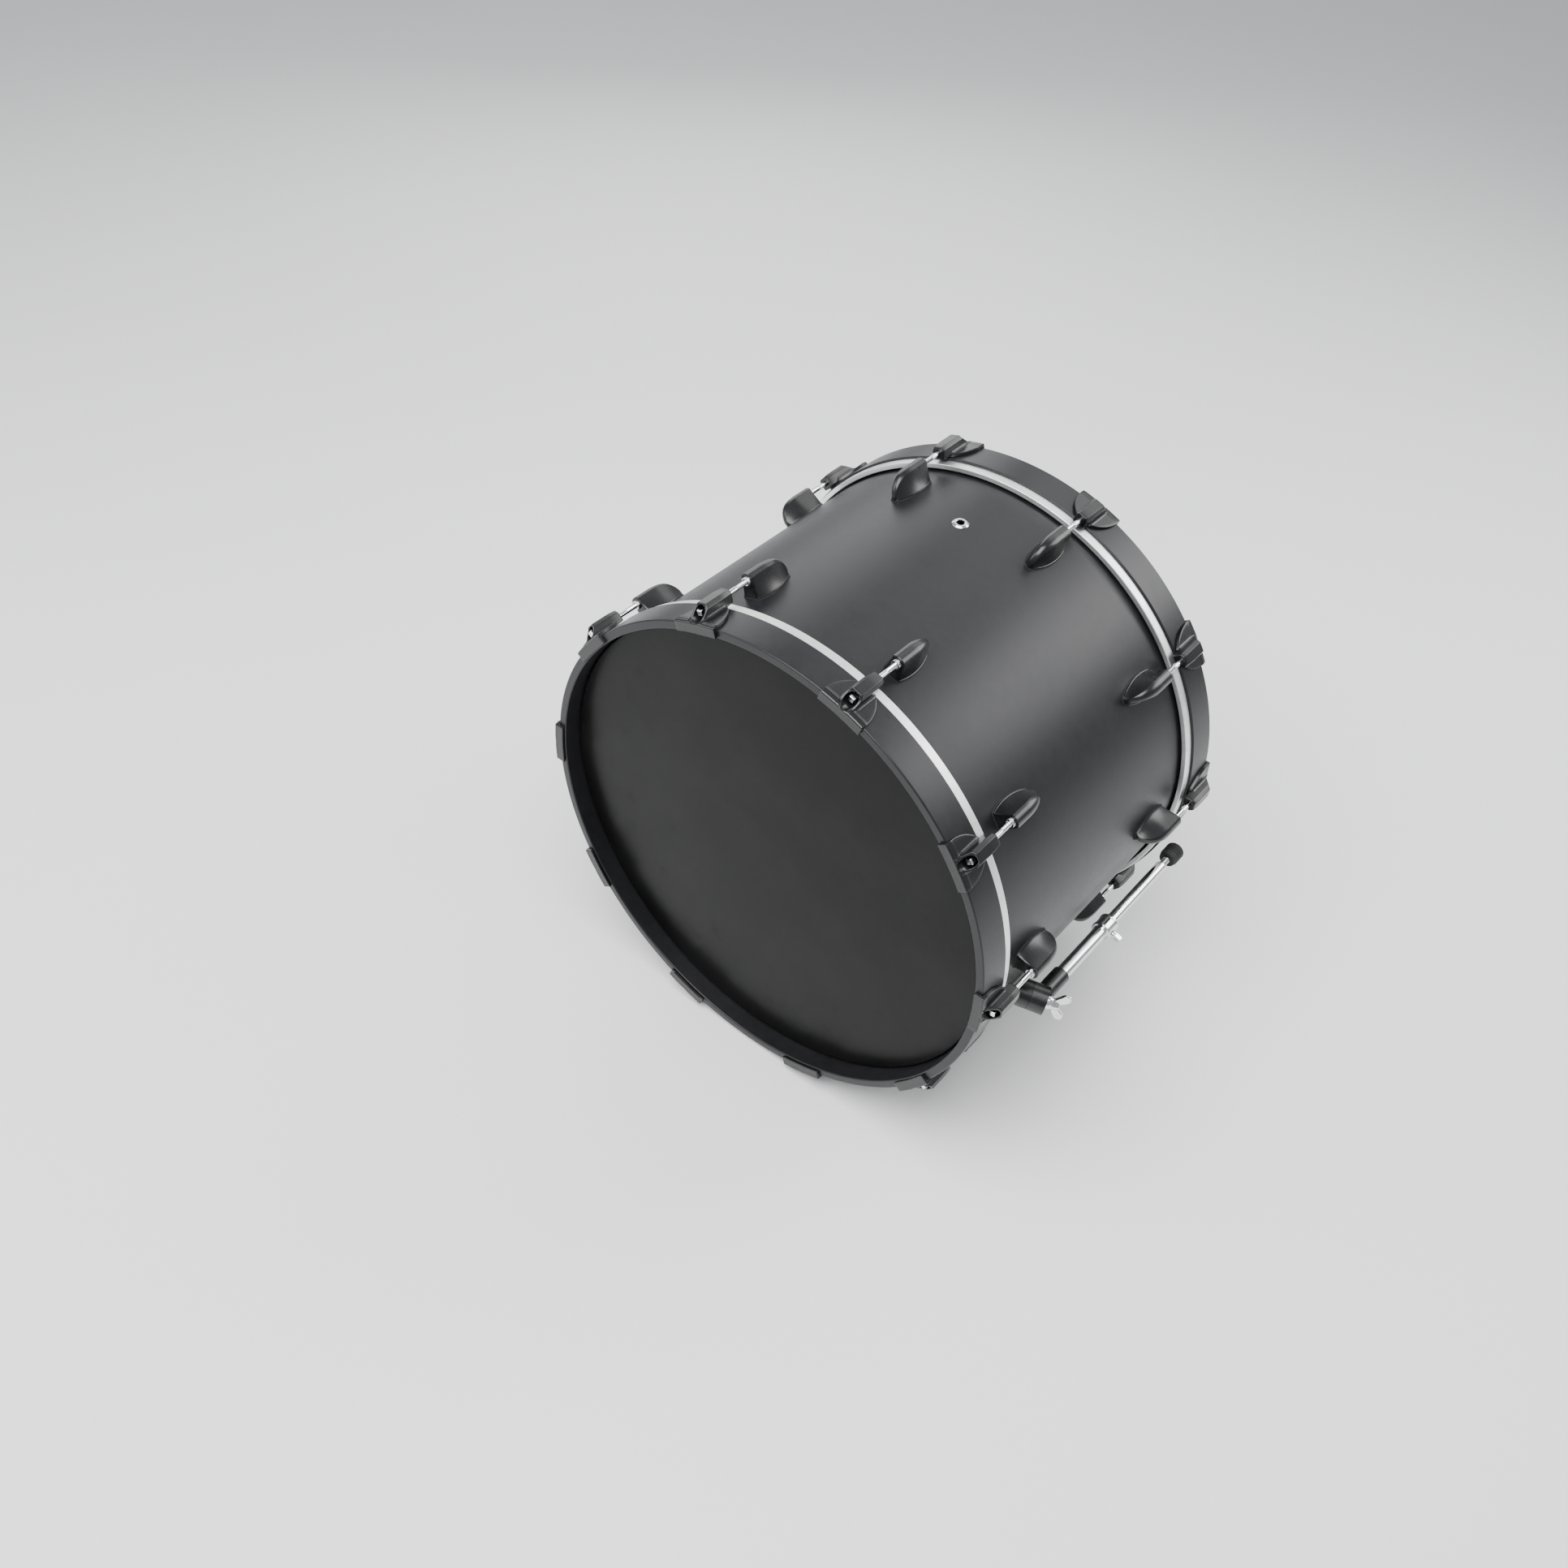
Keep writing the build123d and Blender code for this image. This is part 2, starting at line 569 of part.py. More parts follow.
def spur_tube():
    """The leg's outer tube, with the clamp collar that its lock screw goes through."""
    tube = along(LEG_FOLDED, TUBE_START, TUBE_END, TUBE_RADIUS)
    collar = along(LEG_FOLDED, TUBE_END - CLAMP_LENGTH, TUBE_END, CLAMP_RADIUS)
    collar = chamfer(collar.edges().filter_by(GeomType.CIRCLE), 1.0)
    body = tube + collar - along(LEG_FOLDED, TUBE_START - 1, TUBE_END + 1, TUBE_RADIUS - TUBE_WALL)
    return body - lock_cylinder(SPUR_SCREW_RADIUS + THREAD_CLEARANCE, 0, 2 * CLAMP_RADIUS)


def lock_cylinder(radius, start, end):
    """A cylinder on the lock screw's line, which crosses the leg at the middle of the clamp collar."""
    origin = HINGE_POINT + LEG_FOLDED * (TUBE_END - CLAMP_LENGTH / 2) + SPUR_NORMAL * start
    place = Plane(origin, z_dir=SPUR_NORMAL)
    return place * Cylinder(radius, end - start, align=(Align.CENTER, Align.CENTER, Align.MIN))


def spur_lock_screw():
    """The key-operated screw that locks the inner leg in the outer tube."""
    shaft = lock_cylinder(SPUR_SCREW_RADIUS, LEG_RADIUS + CLEARANCE_HOLE, CLAMP_RADIUS)
    hub = lock_cylinder(LOCK_HUB_RADIUS, CLAMP_RADIUS, CLAMP_RADIUS + LOCK_HUB_HEIGHT)
    key_start = CLAMP_RADIUS + LOCK_HUB_HEIGHT
    origin = HINGE_POINT + LEG_FOLDED * (TUBE_END - CLAMP_LENGTH / 2) + SPUR_NORMAL * key_start
    place = Plane(origin, x_dir=(0, 1, 0), z_dir=SPUR_NORMAL)
    key = place * Box(KEY_SIDE, KEY_SIDE, LOCK_KEY_HEIGHT, align=(Align.CENTER, Align.CENTER, Align.MIN))
    return shaft + hub + key


def spur_leg():
    """The inner leg that slides in the outer tube, bored at its end for the spike."""
    leg = along(LEG_FOLDED, LEG_START, LEG_END, LEG_RADIUS)
    leg = chamfer(leg.edges().filter_by(GeomType.CIRCLE), 0.6)
    return leg - along(LEG_FOLDED, LEG_END - SPIKE_SHANK, LEG_END + 1, SPIKE_RADIUS + THREAD_CLEARANCE)


def spur_spike():
    """The steel spike that is screwed into the inner leg's end."""
    shaft = along(LEG_FOLDED, LEG_END - SPIKE_SHANK, LEG_END + SPIKE_SHAFT, SPIKE_RADIUS)
    place = Plane(HINGE_POINT + LEG_FOLDED * (LEG_END + SPIKE_SHAFT), z_dir=LEG_FOLDED)
    cone = place * Cone(
        SPIKE_RADIUS, SPIKE_POINT, SPIKE_CONE, align=(Align.CENTER, Align.CENTER, Align.MIN)
    )
    return shaft + cone


def spur_foot():
    """The rubber foot around the spike, open at its end so that it can be screwed back to bare the point."""
    foot = along(LEG_FOLDED, FOOT_START, FOOT_END, FOOT_RADIUS)
    foot = fillet(foot.edges().filter_by(GeomType.CIRCLE), FOOT_ROUND)
    return foot - along(LEG_FOLDED, FOOT_START - 1, FOOT_END + 1, SPIKE_RADIUS + 2 * RUNNING_CLEARANCE)


def spur_wing_bolt():
    """The wing bolt on the hinge's axis, which clamps the knuckle to the bracket's boss."""
    bottom = -KNUCKLE_BELOW - KNUCKLE_GAP - WING_BOLT_GRIP
    hub_top = KNUCKLE_ABOVE + KNUCKLE_GAP + WING_HUB_HEIGHT
    shaft = along(HINGE_AXIS, bottom, KNUCKLE_ABOVE + KNUCKLE_GAP, WING_BOLT_RADIUS)
    hub = along(HINGE_AXIS, KNUCKLE_ABOVE + KNUCKLE_GAP, hub_top, WING_HUB_RADIUS)
    across = LEG_FOLDED.cross(HINGE_AXIS).normalized()
    place = Plane(HINGE_POINT, x_dir=across, z_dir=across.cross(HINGE_AXIS))
    low = KNUCKLE_ABOVE + WING_RISE
    profile = make_face(
        Polyline(
            (0, low),
            (WING_HUB_RADIUS, low),
            (WING_SPAN, low + WING_HEIGHT / 2),
            (WING_SPAN, low + WING_HEIGHT),
            (WING_SPAN * 0.62, low + WING_HEIGHT),
            (WING_HUB_RADIUS / 2, hub_top),
            (0, hub_top),
            close=True,
        )
    )
    profile += mirror(profile, about=Plane.YZ)
    wings = place * extrude(profile, amount=WING_THICKNESS / 2, both=True)
    return shaft + hub + wings


def around(piece, ends=(REAR, FRONT)):
    """A copy of a piece at every lug's place, at one end or both, as one group of separate solids."""
    return Compound(children=[placed(piece, angle, end) for end in ends for angle in LUG_ANGLES])


def both_sides(pieces):
    """A right-hand piece, or a list of them, together with the left-hand mirror images."""
    return Compound(children=[*pieces, *[mirror(piece, about=Plane.YZ) for piece in pieces]])


def spur_screws():
    """The screws that hold both brackets, from inside the shell."""
    reach = GASKET_OUTER + SPUR_SCREW_DEPTH
    return both_sides(
        [placed(shell_screw(SPUR_SCREW_RADIUS, reach, y), angle) for angle, y in spur_screw_places()]
    )


def lug_screws():
    """The two screws of every lug, from inside the shell."""
    reach = GASKET_OUTER + LUG_SCREW_DEPTH
    pair = [shell_screw(SCREW_RADIUS, reach, y) for y in lug_screw_places()]
    places = [(angle, end) for end in (REAR, FRONT) for angle in LUG_ANGLES]
    return Compound(children=[placed(screw, angle, end) for screw in pair for angle, end in places])


def drum_pieces():
    """Every node of the drum, by name."""
    nodes = {
        "shell": shell(),
        "vent_eyelet": vent_eyelet(),
        "vent_washer": vent_washer(),
        "claw_pads": around(claw_pad()),
        "rod_washers": around(rod_washer()),
        "lug_gaskets": around(lug_gasket()),
        "swivel_nuts": around(swivel_nut()),
        "lug_screws": lug_screws(),
    }
    rod = tension_rod()
    one_claw = claw()
    one_lug = lug()
    for side, end in (("front", FRONT), ("rear", REAR)):
        nodes[f"{side}_hoop"] = hoop(end)
        nodes[f"{side}_head_film"] = head_film(end)
        nodes[f"{side}_head_ring"] = head_ring(end)
        nodes[f"{side}_claws"] = around(one_claw, (end,))
        nodes[f"{side}_lugs"] = around(one_lug, (end,))
        for number, angle in enumerate(LUG_ANGLES, start=1):
            nodes[f"tension_rod_{side}_{number:02d}"] = placed(rod, angle, end)
    return nodes


def spur_pieces():
    """Every node of both spurs, by name."""
    nodes = {
        "spur_gaskets": both_sides([spur_gasket()]),
        "spur_screws": spur_screws(),
    }
    right = {
        "spur_bracket": spur_bracket(),
        "spur_knuckle": spur_knuckle(),
        "spur_tube": spur_tube(),
        "spur_lock_screw": spur_lock_screw(),
        "spur_leg": spur_leg(),
        "spur_spike": spur_spike(),
        "spur_foot": spur_foot(),
        "spur_wing_bolt": spur_wing_bolt(),
    }
    for name, piece in right.items():
        nodes[f"{name}_right"] = piece
        nodes[f"{name}_left"] = mirror(piece, about=Plane.YZ)
    return nodes


def main():
    """Writes one STEP file for each node, lifted so that the drum stands on z = 0."""
    os.makedirs("parts", exist_ok=True)
    for name, piece in {**drum_pieces(), **spur_pieces()}.items():
        export_step(Pos(0, 0, AXIS_HEIGHT) * piece, f"parts/{name}.step")


if __name__ == "__main__":
    main()
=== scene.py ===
"""A kit bass drum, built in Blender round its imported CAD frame.

Shapes are drawn in millimetres about the drum's centre, with y along the drum's axis and z up, and each
mesh is scaled to metres and lifted to the frame's axis. A piece that repeats is drawn once, at the top of
the rear end, and then turned to its places.
"""

import logging
import math
from dataclasses import dataclass
from enum import Enum
from typing import Any, Callable, Iterable, Sequence

import bmesh
import bpy
from mathutils import Matrix, Quaternion, Vector


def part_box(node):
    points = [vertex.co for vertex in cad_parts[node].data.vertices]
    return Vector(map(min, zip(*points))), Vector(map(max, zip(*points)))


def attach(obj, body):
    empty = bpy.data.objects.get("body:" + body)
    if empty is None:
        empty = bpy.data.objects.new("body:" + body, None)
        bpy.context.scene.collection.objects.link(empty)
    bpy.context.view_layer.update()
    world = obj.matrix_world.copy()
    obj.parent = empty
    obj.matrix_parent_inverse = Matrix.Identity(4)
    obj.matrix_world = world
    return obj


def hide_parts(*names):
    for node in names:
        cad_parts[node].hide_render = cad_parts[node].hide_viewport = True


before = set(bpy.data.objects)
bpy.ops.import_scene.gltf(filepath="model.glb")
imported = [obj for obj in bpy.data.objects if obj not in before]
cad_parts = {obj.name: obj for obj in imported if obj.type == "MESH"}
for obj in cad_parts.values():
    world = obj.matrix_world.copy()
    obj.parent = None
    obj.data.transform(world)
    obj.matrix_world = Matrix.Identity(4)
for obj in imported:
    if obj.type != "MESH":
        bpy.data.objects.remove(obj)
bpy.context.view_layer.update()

MM = 0.001
MERGE_DISTANCE = 2e-7
LATHE_STEPS = 360
SHARP_ANGLE = 32.0
KEY_CORNER = 0.7
ARC_MIDDLE = 0.29  # how far in a quarter round's middle stands, as a share of its radius
DRUM = "drum"

Point = tuple[float, float]
Triple = tuple[float, float, float]
Colour = tuple[float, float, float, float]
LightSettings = tuple[str, Triple, float, Point, float]
log = logging.getLogger("bass_drum")


class End(Enum):
    """The two ends of the drum, by the sign of their y."""

    REAR = 1
    FRONT = -1

    @property
    def word(self) -> str:
        """The end's name as the frame's nodes have it."""
        return self.name.lower()


class Side(Enum):
    """The two sides of the drum, by the sign of their x."""

    RIGHT = 1
    LEFT = -1

    @property
    def word(self) -> str:
        """The side's name as the frame's nodes have it."""
        return self.name.lower()


class Slot(Enum):
    """The record's material slots."""

    SHELL = "shell_lacquer"
    HOOP = "hoop_lacquer"
    FILM = "head_film"
    RING = "head_ring"
    CASTING = "black_casting"
    CHROME = "chrome"
    STEEL = "steel"
    RUBBER = "rubber"
    NYLON = "nylon"


# ---------------------------------------------------------------- outlines and forms


def rounded(corners: Sequence[Point], rounds: dict[int, float], steps: int = 4) -> list[Point]:
    """A closed outline with arcs in place of some of its corners.

    Args:
        corners: The outline's corners in order.
        rounds: The radius for each corner that is rounded, by its place in corners.
        steps: The number of straight runs in each arc.

    Returns:
        The outline's points in order.
    """
    outline: list[Point] = []
    for index, corner in enumerate(corners):
        radius = rounds.get(index, 0.0)
        here = Vector(corner)
        if not radius:
            outline.append(tuple(here))
            continue
        back = (Vector(corners[index - 1]) - here).normalized()
        ahead = (Vector(corners[(index + 1) % len(corners)]) - here).normalized()
        half = back.angle(ahead) / 2
        centre = here + (back + ahead).normalized() * (radius / math.sin(half))
        first = here + back * (radius / math.tan(half)) - centre
        last = here + ahead * (radius / math.tan(half)) - centre
        sweep = first.angle(last)
        for step in range(steps + 1):
            share = step / steps
            arc = first * math.sin((1 - share) * sweep) + last * math.sin(share * sweep)
            outline.append(tuple(centre + arc / math.sin(sweep)))
    return outline


def divided(outline: Sequence[Point], longest: float) -> list[Point]:
    """A closed outline with its long runs divided evenly.

    Args:
        outline: The outline's points in order.
        longest: The greatest length that a run may keep.

    Returns:
        The outline's points in order.
    """
    points: list[Point] = []
    for index, point in enumerate(outline):
        start, end = Vector(point), Vector(outline[(index + 1) % len(outline)])
        pieces = max(1, math.ceil((end - start).length / longest))
        points.extend(tuple(start.lerp(end, step / pieces)) for step in range(pieces))
    return points


def bowed(start: Point, middle: Point, end: Point) -> Callable[[float], float]:
    """The bulging side of a circle through three (width, y) points.

    Args:
        start: The first point.
        middle: A point between them.
        end: The last point.

    Returns:
        A function that gives the width at a y.
    """
    (ax, ay), (bx, by), (cx, cy) = start, middle, end
    a, b, c = ax * ax + ay * ay, bx * bx + by * by, cx * cx + cy * cy
    scale = 2 * (ax * (by - cy) + bx * (cy - ay) + cx * (ay - by))
    centre_x = (a * (by - cy) + b * (cy - ay) + c * (ay - by)) / scale
    centre_y = (a * (cx - bx) + b * (ax - cx) + c * (bx - ax)) / scale
    radius = math.hypot(ax - centre_x, ay - centre_y)
    return lambda y: centre_x + math.sqrt(max(0.0, radius**2 - (y - centre_y) ** 2))


def placed(name: str, data: bpy.types.ID) -> bpy.types.Object:
    """Makes an object that holds some data, and links it to the scene.

    Args:
        name: The object's name.
        data: Its mesh, light or camera.

    Returns:
        The object.
    """
    made = bpy.data.objects.new(name, data)
    bpy.context.scene.collection.objects.link(made)
    return made


def eased(value: float, low: float, high: float) -> float:
    """How far a value has gone from low to high, from 0 to 1, starting and ending gently."""
    share = min(1.0, max(0.0, (value - low) / (high - low)))
    return share * share * (3 - 2 * share)


def bump_at(value: float, middle: float, half_width: float) -> float:
    """A smooth hump of height 1 about a middle, and 0 beyond its half-width."""
    share = abs(value - middle) / half_width
    return 0.0 if share >= 1 else (1 - share * share) ** 2


class Form:
    """Points and faces of one mesh, in millimetres."""

    def __init__(self) -> None:
        """Starts with nothing in it."""
        self.points: list[Vector] = []
        self.faces: list[tuple[int, ...]] = []

    def grid(
        self, rows: Sequence[Sequence[Vector]], wrap_rows: bool = False, wrap_columns: bool = False
    ) -> "Form":
        """Adds a grid of four-sided faces.

        Args:
            rows: The grid's points, row by row, with as many in each.
            wrap_rows: Whether the last row joins the first.
            wrap_columns: Whether each row's last point joins its first.

        Returns:
            The form itself.
        """
        start, width, height = len(self.points), len(rows[0]), len(rows)
        for row in rows:
            self.points.extend(row)
        for r in range(height if wrap_rows else height - 1):
            below, above = start + r * width, start + (r + 1) % height * width
            for c in range(width if wrap_columns else width - 1):
                beside = (c + 1) % width
                self.faces.append((below + c, below + beside, above + beside, above + c))
        return self

    def cap(self, loop: Sequence[Vector]) -> "Form":
        """Adds one face across a loop of points.

        Args:
            loop: The loop's points in order.

        Returns:
            The form itself.
        """
        start = len(self.points)
        self.points.extend(loop)
        self.faces.append(tuple(range(start, start + len(loop))))
        return self

    def loft(self, loops: Sequence[Sequence[Vector]]) -> "Form":
        """Adds a skin over closed loops, and a face across each end.

        Args:
            loops: The loops in order, with as many points in each.

        Returns:
            The form itself.
        """
        self.grid(loops, wrap_columns=True)
        return self.cap(loops[0]).cap(loops[-1])

    def spin(
        self,
        profile: Sequence[Point],
        place: Matrix,
        steps: int = 48,
        closed: bool = True,
    ) -> "Form":
        """Adds a turned shape.

        Args:
            profile: Its (radius, height) points.
            place: Where the turning axis, which is local z, stands.
            steps: The number of runs round the axis.
            closed: Whether the profile's last point joins its first.

        Returns:
            The form itself.
        """
        rows = []
        for step in range(steps):
            turn = 2 * math.pi * step / steps
            cosine, sine = math.cos(turn), math.sin(turn)
            rows.append([place @ Vector((r * cosine, r * sine, h)) for r, h in profile])
        return self.grid(rows, wrap_rows=True, wrap_columns=closed)

    def add(self, other: "Form", place: Matrix | None = None) -> "Form":
        """Adds a copy of another form.

        Args:
            other: The form to copy.
            place: The move for the copy, or none.

        Returns:
            The form itself.
        """
        start = len(self.points)
        self.points.extend(place @ p if place else p.copy() for p in other.points)
        self.faces.extend(tuple(start + i for i in face) for face in other.faces)
        return self

    def mesh(self, name: str, place: Matrix | None = None, sharp: float = SHARP_ANGLE) -> bpy.types.Mesh:
        """Makes the mesh, in metres.

        Args:
            name: The mesh's name.
            place: Where it stands, in metres, or none to leave it about the drum's centre.
            sharp: The angle in degrees from which an edge is shaded sharp.

        Returns:
            The finished mesh.
        """
        made = bpy.data.meshes.new(name)
        whole = (place or Matrix.Identity(4)) @ Matrix.Scale(MM, 4)
        made.from_pydata([whole @ p for p in self.points], [], self.faces)
        work = bmesh.new()
        work.from_mesh(made)
        bmesh.ops.remove_doubles(work, verts=work.verts, dist=MERGE_DISTANCE)
        bmesh.ops.dissolve_degenerate(work, edges=work.edges, dist=MERGE_DISTANCE)
        bmesh.ops.recalc_face_normals(work, faces=work.faces)
        work.to_mesh(made)
        work.free()
        made.polygons.foreach_set("use_smooth", [True] * len(made.polygons))
        made.set_sharp_from_angle(angle=math.radians(sharp))
        return made


def key_head(side: float, bottom: float, top: float, line: Matrix) -> Form:
    """A square key head with rounded corners and a softened end.

    Args:
        side: The width across its flats.
        bottom: Where it starts along its axis.
        top: Where it ends.
        line: The place of its axis, which is local z.

    Returns:
        The head.
    """
    half = side / 2
    corners = [(-half, -half), (half, -half), (half, half), (-half, half)]
    square = rounded(corners, {corner: KEY_CORNER for corner in range(4)})
    levels = [(bottom, 1.0), (top - 0.9, 1.0), (top - 0.25, 0.9), (top, 0.8)]
    return Form().loft([[line @ Vector((x * scale, y * scale, h)) for x, y in square] for h, scale in levels])


# ---------------------------------------------------------------- places


ALONG_Y = Matrix.Rotation(math.radians(-90), 4, "X")


@dataclass(frozen=True)
class Drum:
    """The drum's main sizes in millimetres. The class method measures those that the frame gives."""

    axis_height: float
    shell_radius: float
    edge_y: float
    ring_outer: float
    ring_bottom: float
    ring_top: float
    hoop_outer: float
    hoop_face: float
    shell_wall: float = 7.5
    film_gap: float = 0.3
    film_thickness: float = 0.36
    ring_wall: float = 6.0
    hoop_wall: float = 9.7
    rod_offset: float = 8.5
    gasket: float = 0.8
    lug_count: int = 10

    @classmethod
    def measured(cls) -> "Drum":
        """Reads the drum's main sizes from the boxes of the frame's nodes.

        Returns:
            The drum's sizes.
        """
        shell_low, shell_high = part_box("shell")
        ring_low, ring_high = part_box("rear_head_ring")
        hoop_low, hoop_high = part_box("rear_hoop")
        return cls(
            axis_height=(ring_low.z + ring_high.z) / 2 / MM,
            shell_radius=(shell_high.x - shell_low.x) / 2 / MM,
            edge_y=shell_high.y / MM,
            ring_outer=(ring_high.x - ring_low.x) / 2 / MM,
            ring_bottom=ring_low.y / MM,
            ring_top=ring_high.y / MM,
            hoop_outer=(hoop_high.x - hoop_low.x) / 2 / MM,
            hoop_face=hoop_high.y / MM,
        )

    @property
    def rod_axis(self) -> float:
        """The radius that the tension rods lie on."""
        return self.hoop_outer + self.rod_offset

    @property
    def gasket_outer(self) -> float:
        """The radius of a gasket's outer face."""
        return self.shell_radius + self.gasket

    @property
    def film_outer(self) -> float:
        """The radius of the outside of a head's collar."""
        return self.shell_radius + self.film_gap + self.film_thickness

    @property
    def lift(self) -> Matrix:
        """The move from the drum's centre to its place in the frame, in metres."""
        return Matrix.Translation((0, 0, self.axis_height * MM))

    @property
    def rod_line(self) -> Matrix:
        """The place of a turning axis along the top rod."""
        return Matrix.Translation((0, 0, self.rod_axis)) @ ALONG_Y

    def angles(self) -> list[float]:
        """The angles of the lugs from the top, towards +X."""
        return [360 / self.lug_count * (place + 0.5) for place in range(self.lug_count)]

    def turn(self, angle: float, end: End) -> Matrix:
        """The turn from the top of the rear end to an angle at either end."""
        flip = Matrix.Rotation(math.pi, 4, "Z") if end is End.FRONT else Matrix.Identity(4)
        return Matrix.Rotation(math.radians(angle), 4, "Y") @ flip

    def around(self, form: Form, ends: Iterable[End]) -> Form:
        """A form's copies at every lug's place, at the given ends.

        Args:
            form: A form drawn at the top of the rear end.
            ends: The ends that get copies.

        Returns:
            The copies, as one form.
        """
        copies = Form()
        for end in ends:
            for angle in self.angles():
                copies.add(form, self.turn(angle, end))
        return copies


# ---------------------------------------------------------------- shader helpers


class Wire:
    """One value in a shader. Arithmetic on it adds Math nodes."""

    def __init__(self, board: "Board", socket: bpy.types.NodeSocket) -> None:
        """Wraps an output socket of a board's node."""
        self.board = board
        self.socket = socket

    def _math(self, operation: str, left: Any, right: Any) -> "Wire":
        """The result of a Math node on two values."""
        return self.board.wire("ShaderNodeMath", {"operation": operation}, {0: left, 1: right})

    def __add__(self, other: "Wire | float") -> "Wire":
        """This value plus another."""
        return self._math("ADD", self, other)

    def __radd__(self, other: float) -> "Wire":
        """A number plus this value."""
        return self._math("ADD", other, self)

    def __sub__(self, other: "Wire | float") -> "Wire":
        """This value less another."""
        return self._math("SUBTRACT", self, other)

    def __rsub__(self, other: float) -> "Wire":
        """A number less this value."""
        return self._math("SUBTRACT", other, self)

    def __mul__(self, other: "Wire | float") -> "Wire":
        """This value times another."""
        return self._math("MULTIPLY", self, other)

    def __rmul__(self, other: float) -> "Wire":
        """A number times this value."""
        return self._math("MULTIPLY", other, self)


class Board:
    """One material's node tree, with methods that add to it."""

    def __init__(self, name: str) -> None:
        """Starts a material with an empty node tree.

        Args:
            name: The material's name.
        """
        self.material = bpy.data.materials.new(name)
        self.material.use_nodes = True
        self.tree = self.material.node_tree
        self.tree.nodes.clear()

    def node(self, kind: str, settings: dict[str, Any], values: dict[int | str, Any]) -> bpy.types.Node:
        """Adds a node.

        Args:
            kind: The node's type.
            settings: Its properties, set first.
            values: A number, colour or wire for each input, by its name or place.

        Returns:
            The node.
        """
        made = self.tree.nodes.new(kind)
        for key, value in settings.items():
            setattr(made, key, value)
        for key, value in values.items():
            if isinstance(value, Wire):
                self.tree.links.new(value.socket, made.inputs[key])
            else:
                made.inputs[key].default_value = value
        return made

    def wire(
        self, kind: str, settings: dict[str, Any], values: dict[int | str, Any], output: int | str = 0
    ) -> Wire:
        """Adds a node and gives one of its outputs."""
        return Wire(self, self.node(kind, settings, values).outputs[output])

    def place(self, stretch: Triple = (1.0, 1.0, 1.0)) -> Wire:
        """The point on the piece, stretched along its axes."""
        point = self.wire("ShaderNodeTexCoord", {}, {}, "Object")
        return self.wire("ShaderNodeVectorMath", {"operation": "MULTIPLY"}, {0: point, 1: stretch})

    def noise(self, point: Wire, scale: float, detail: float = 2.0, roughness: float = 0.5) -> Wire:
        """Smooth noise from 0 to 1, with a scale in features a metre."""
        values = {"Vector": point, "Scale": scale, "Detail": detail, "Roughness": roughness}
        return self.wire("ShaderNodeTexNoise", {}, values)

    def between(self, value: Wire, low: float, high: float) -> Wire:
        """How far a value has gone from low to high, held to the range 0 to 1."""
        values = {"Value": value, "From Min": low, "From Max": high}
        return self.wire("ShaderNodeMapRange", {"interpolation_type": "SMOOTHSTEP"}, values)

    def blend(self, share: Wire, first: Any, second: Any) -> Wire:
        """A colour between two, by a share from 0 to 1."""
        settings = {"data_type": "RGBA"}
        return self.wire("ShaderNodeMix", settings, {0: share, 6: first, 7: second}, 2)

    def bump(self, height: Wire, strength: float, distance: float) -> Wire:
        """The surface direction over a relief of a height in metres."""
        values = {"Height": height, "Strength": strength, "Distance": distance}
        return self.wire("ShaderNodeBump", {}, values)

    def edges(self, low: float, high: float) -> Wire:
        """Where the mesh bends outwards, from 0 to 1."""
        return self.between(self.wire("ShaderNodeNewGeometry", {}, {}, "Pointiness"), low, high)

    def finish(self, values: dict[int | str, Any]) -> bpy.types.Material:
        """Adds the surface shader with these values, and gives the finished material.

        Args:
            values: The shader's inputs.

        Returns:
            The finished material.
        """
        surface = self.wire("ShaderNodeBsdfPrincipled", {}, values)
        self.node("ShaderNodeOutputMaterial", {}, {"Surface": surface})
        return self.material


def grey(value: float, blue: float = 0.0) -> Colour:
    """A grey, with a little blue added if wanted."""
    return (value, value, value + blue, 1.0)


# ---------------------------------------------------------------- finishes


@dataclass(frozen=True)
class Lacquer:
    """Satin black lacquer on wood, with a fine peel, soft cloudiness and sparse dust.

    The grain is stretched along the wood's run, so that it reads as lines round the drum.
    """

    slot: Slot
    colour: Colour = grey(0.0060, 0.0012)
    hazed: Colour = grey(0.0105, 0.0018)
    dust: Colour = grey(0.05)
    roughness: float = 0.40
    grain: float = 0.06
    peel_scale: float = 750.0

    def material(self) -> bpy.types.Material:
        """Builds the finish.

        Returns:
            The finished material.
        """
        board = Board(self.slot.value)
        point = board.place()
        haze = board.noise(point, 7.0, 3.0, 0.55)
        peel = board.noise(point, self.peel_scale, 2.0, 0.6)
        grain = board.noise(board.place((14.0, 520.0, 14.0)), 1.0, 4.0, 0.65)
        specks = board.between(board.noise(point, 420.0, 1.0), 0.765, 0.81)
        mottle = board.noise(point, 95.0, 3.0, 0.6)
        rubs = board.between(board.noise(board.place((9.0, 60.0, 9.0)), 1.0, 5.0, 0.7), 0.60, 0.78)
        base = board.blend(board.between(haze * 0.6 + mottle * 0.4, 0.3, 0.7), self.colour, self.hazed)
        base = board.blend(specks * 0.5 + rubs * 0.04, base, self.dust)
        relief = peel * 0.4 + mottle * 0.8 + grain * self.grain
        unevenness = haze * 0.10 + mottle * 0.08 + peel * 0.06 + rubs * 0.04
        return board.finish(
            {
                "Base Color": base,
                "Roughness": unevenness + (self.roughness - 0.12),
                "Normal": board.bump(relief, 0.20, 0.0004),
                "IOR": 1.48,
                "Specular IOR Level": 0.36,
            }
        )


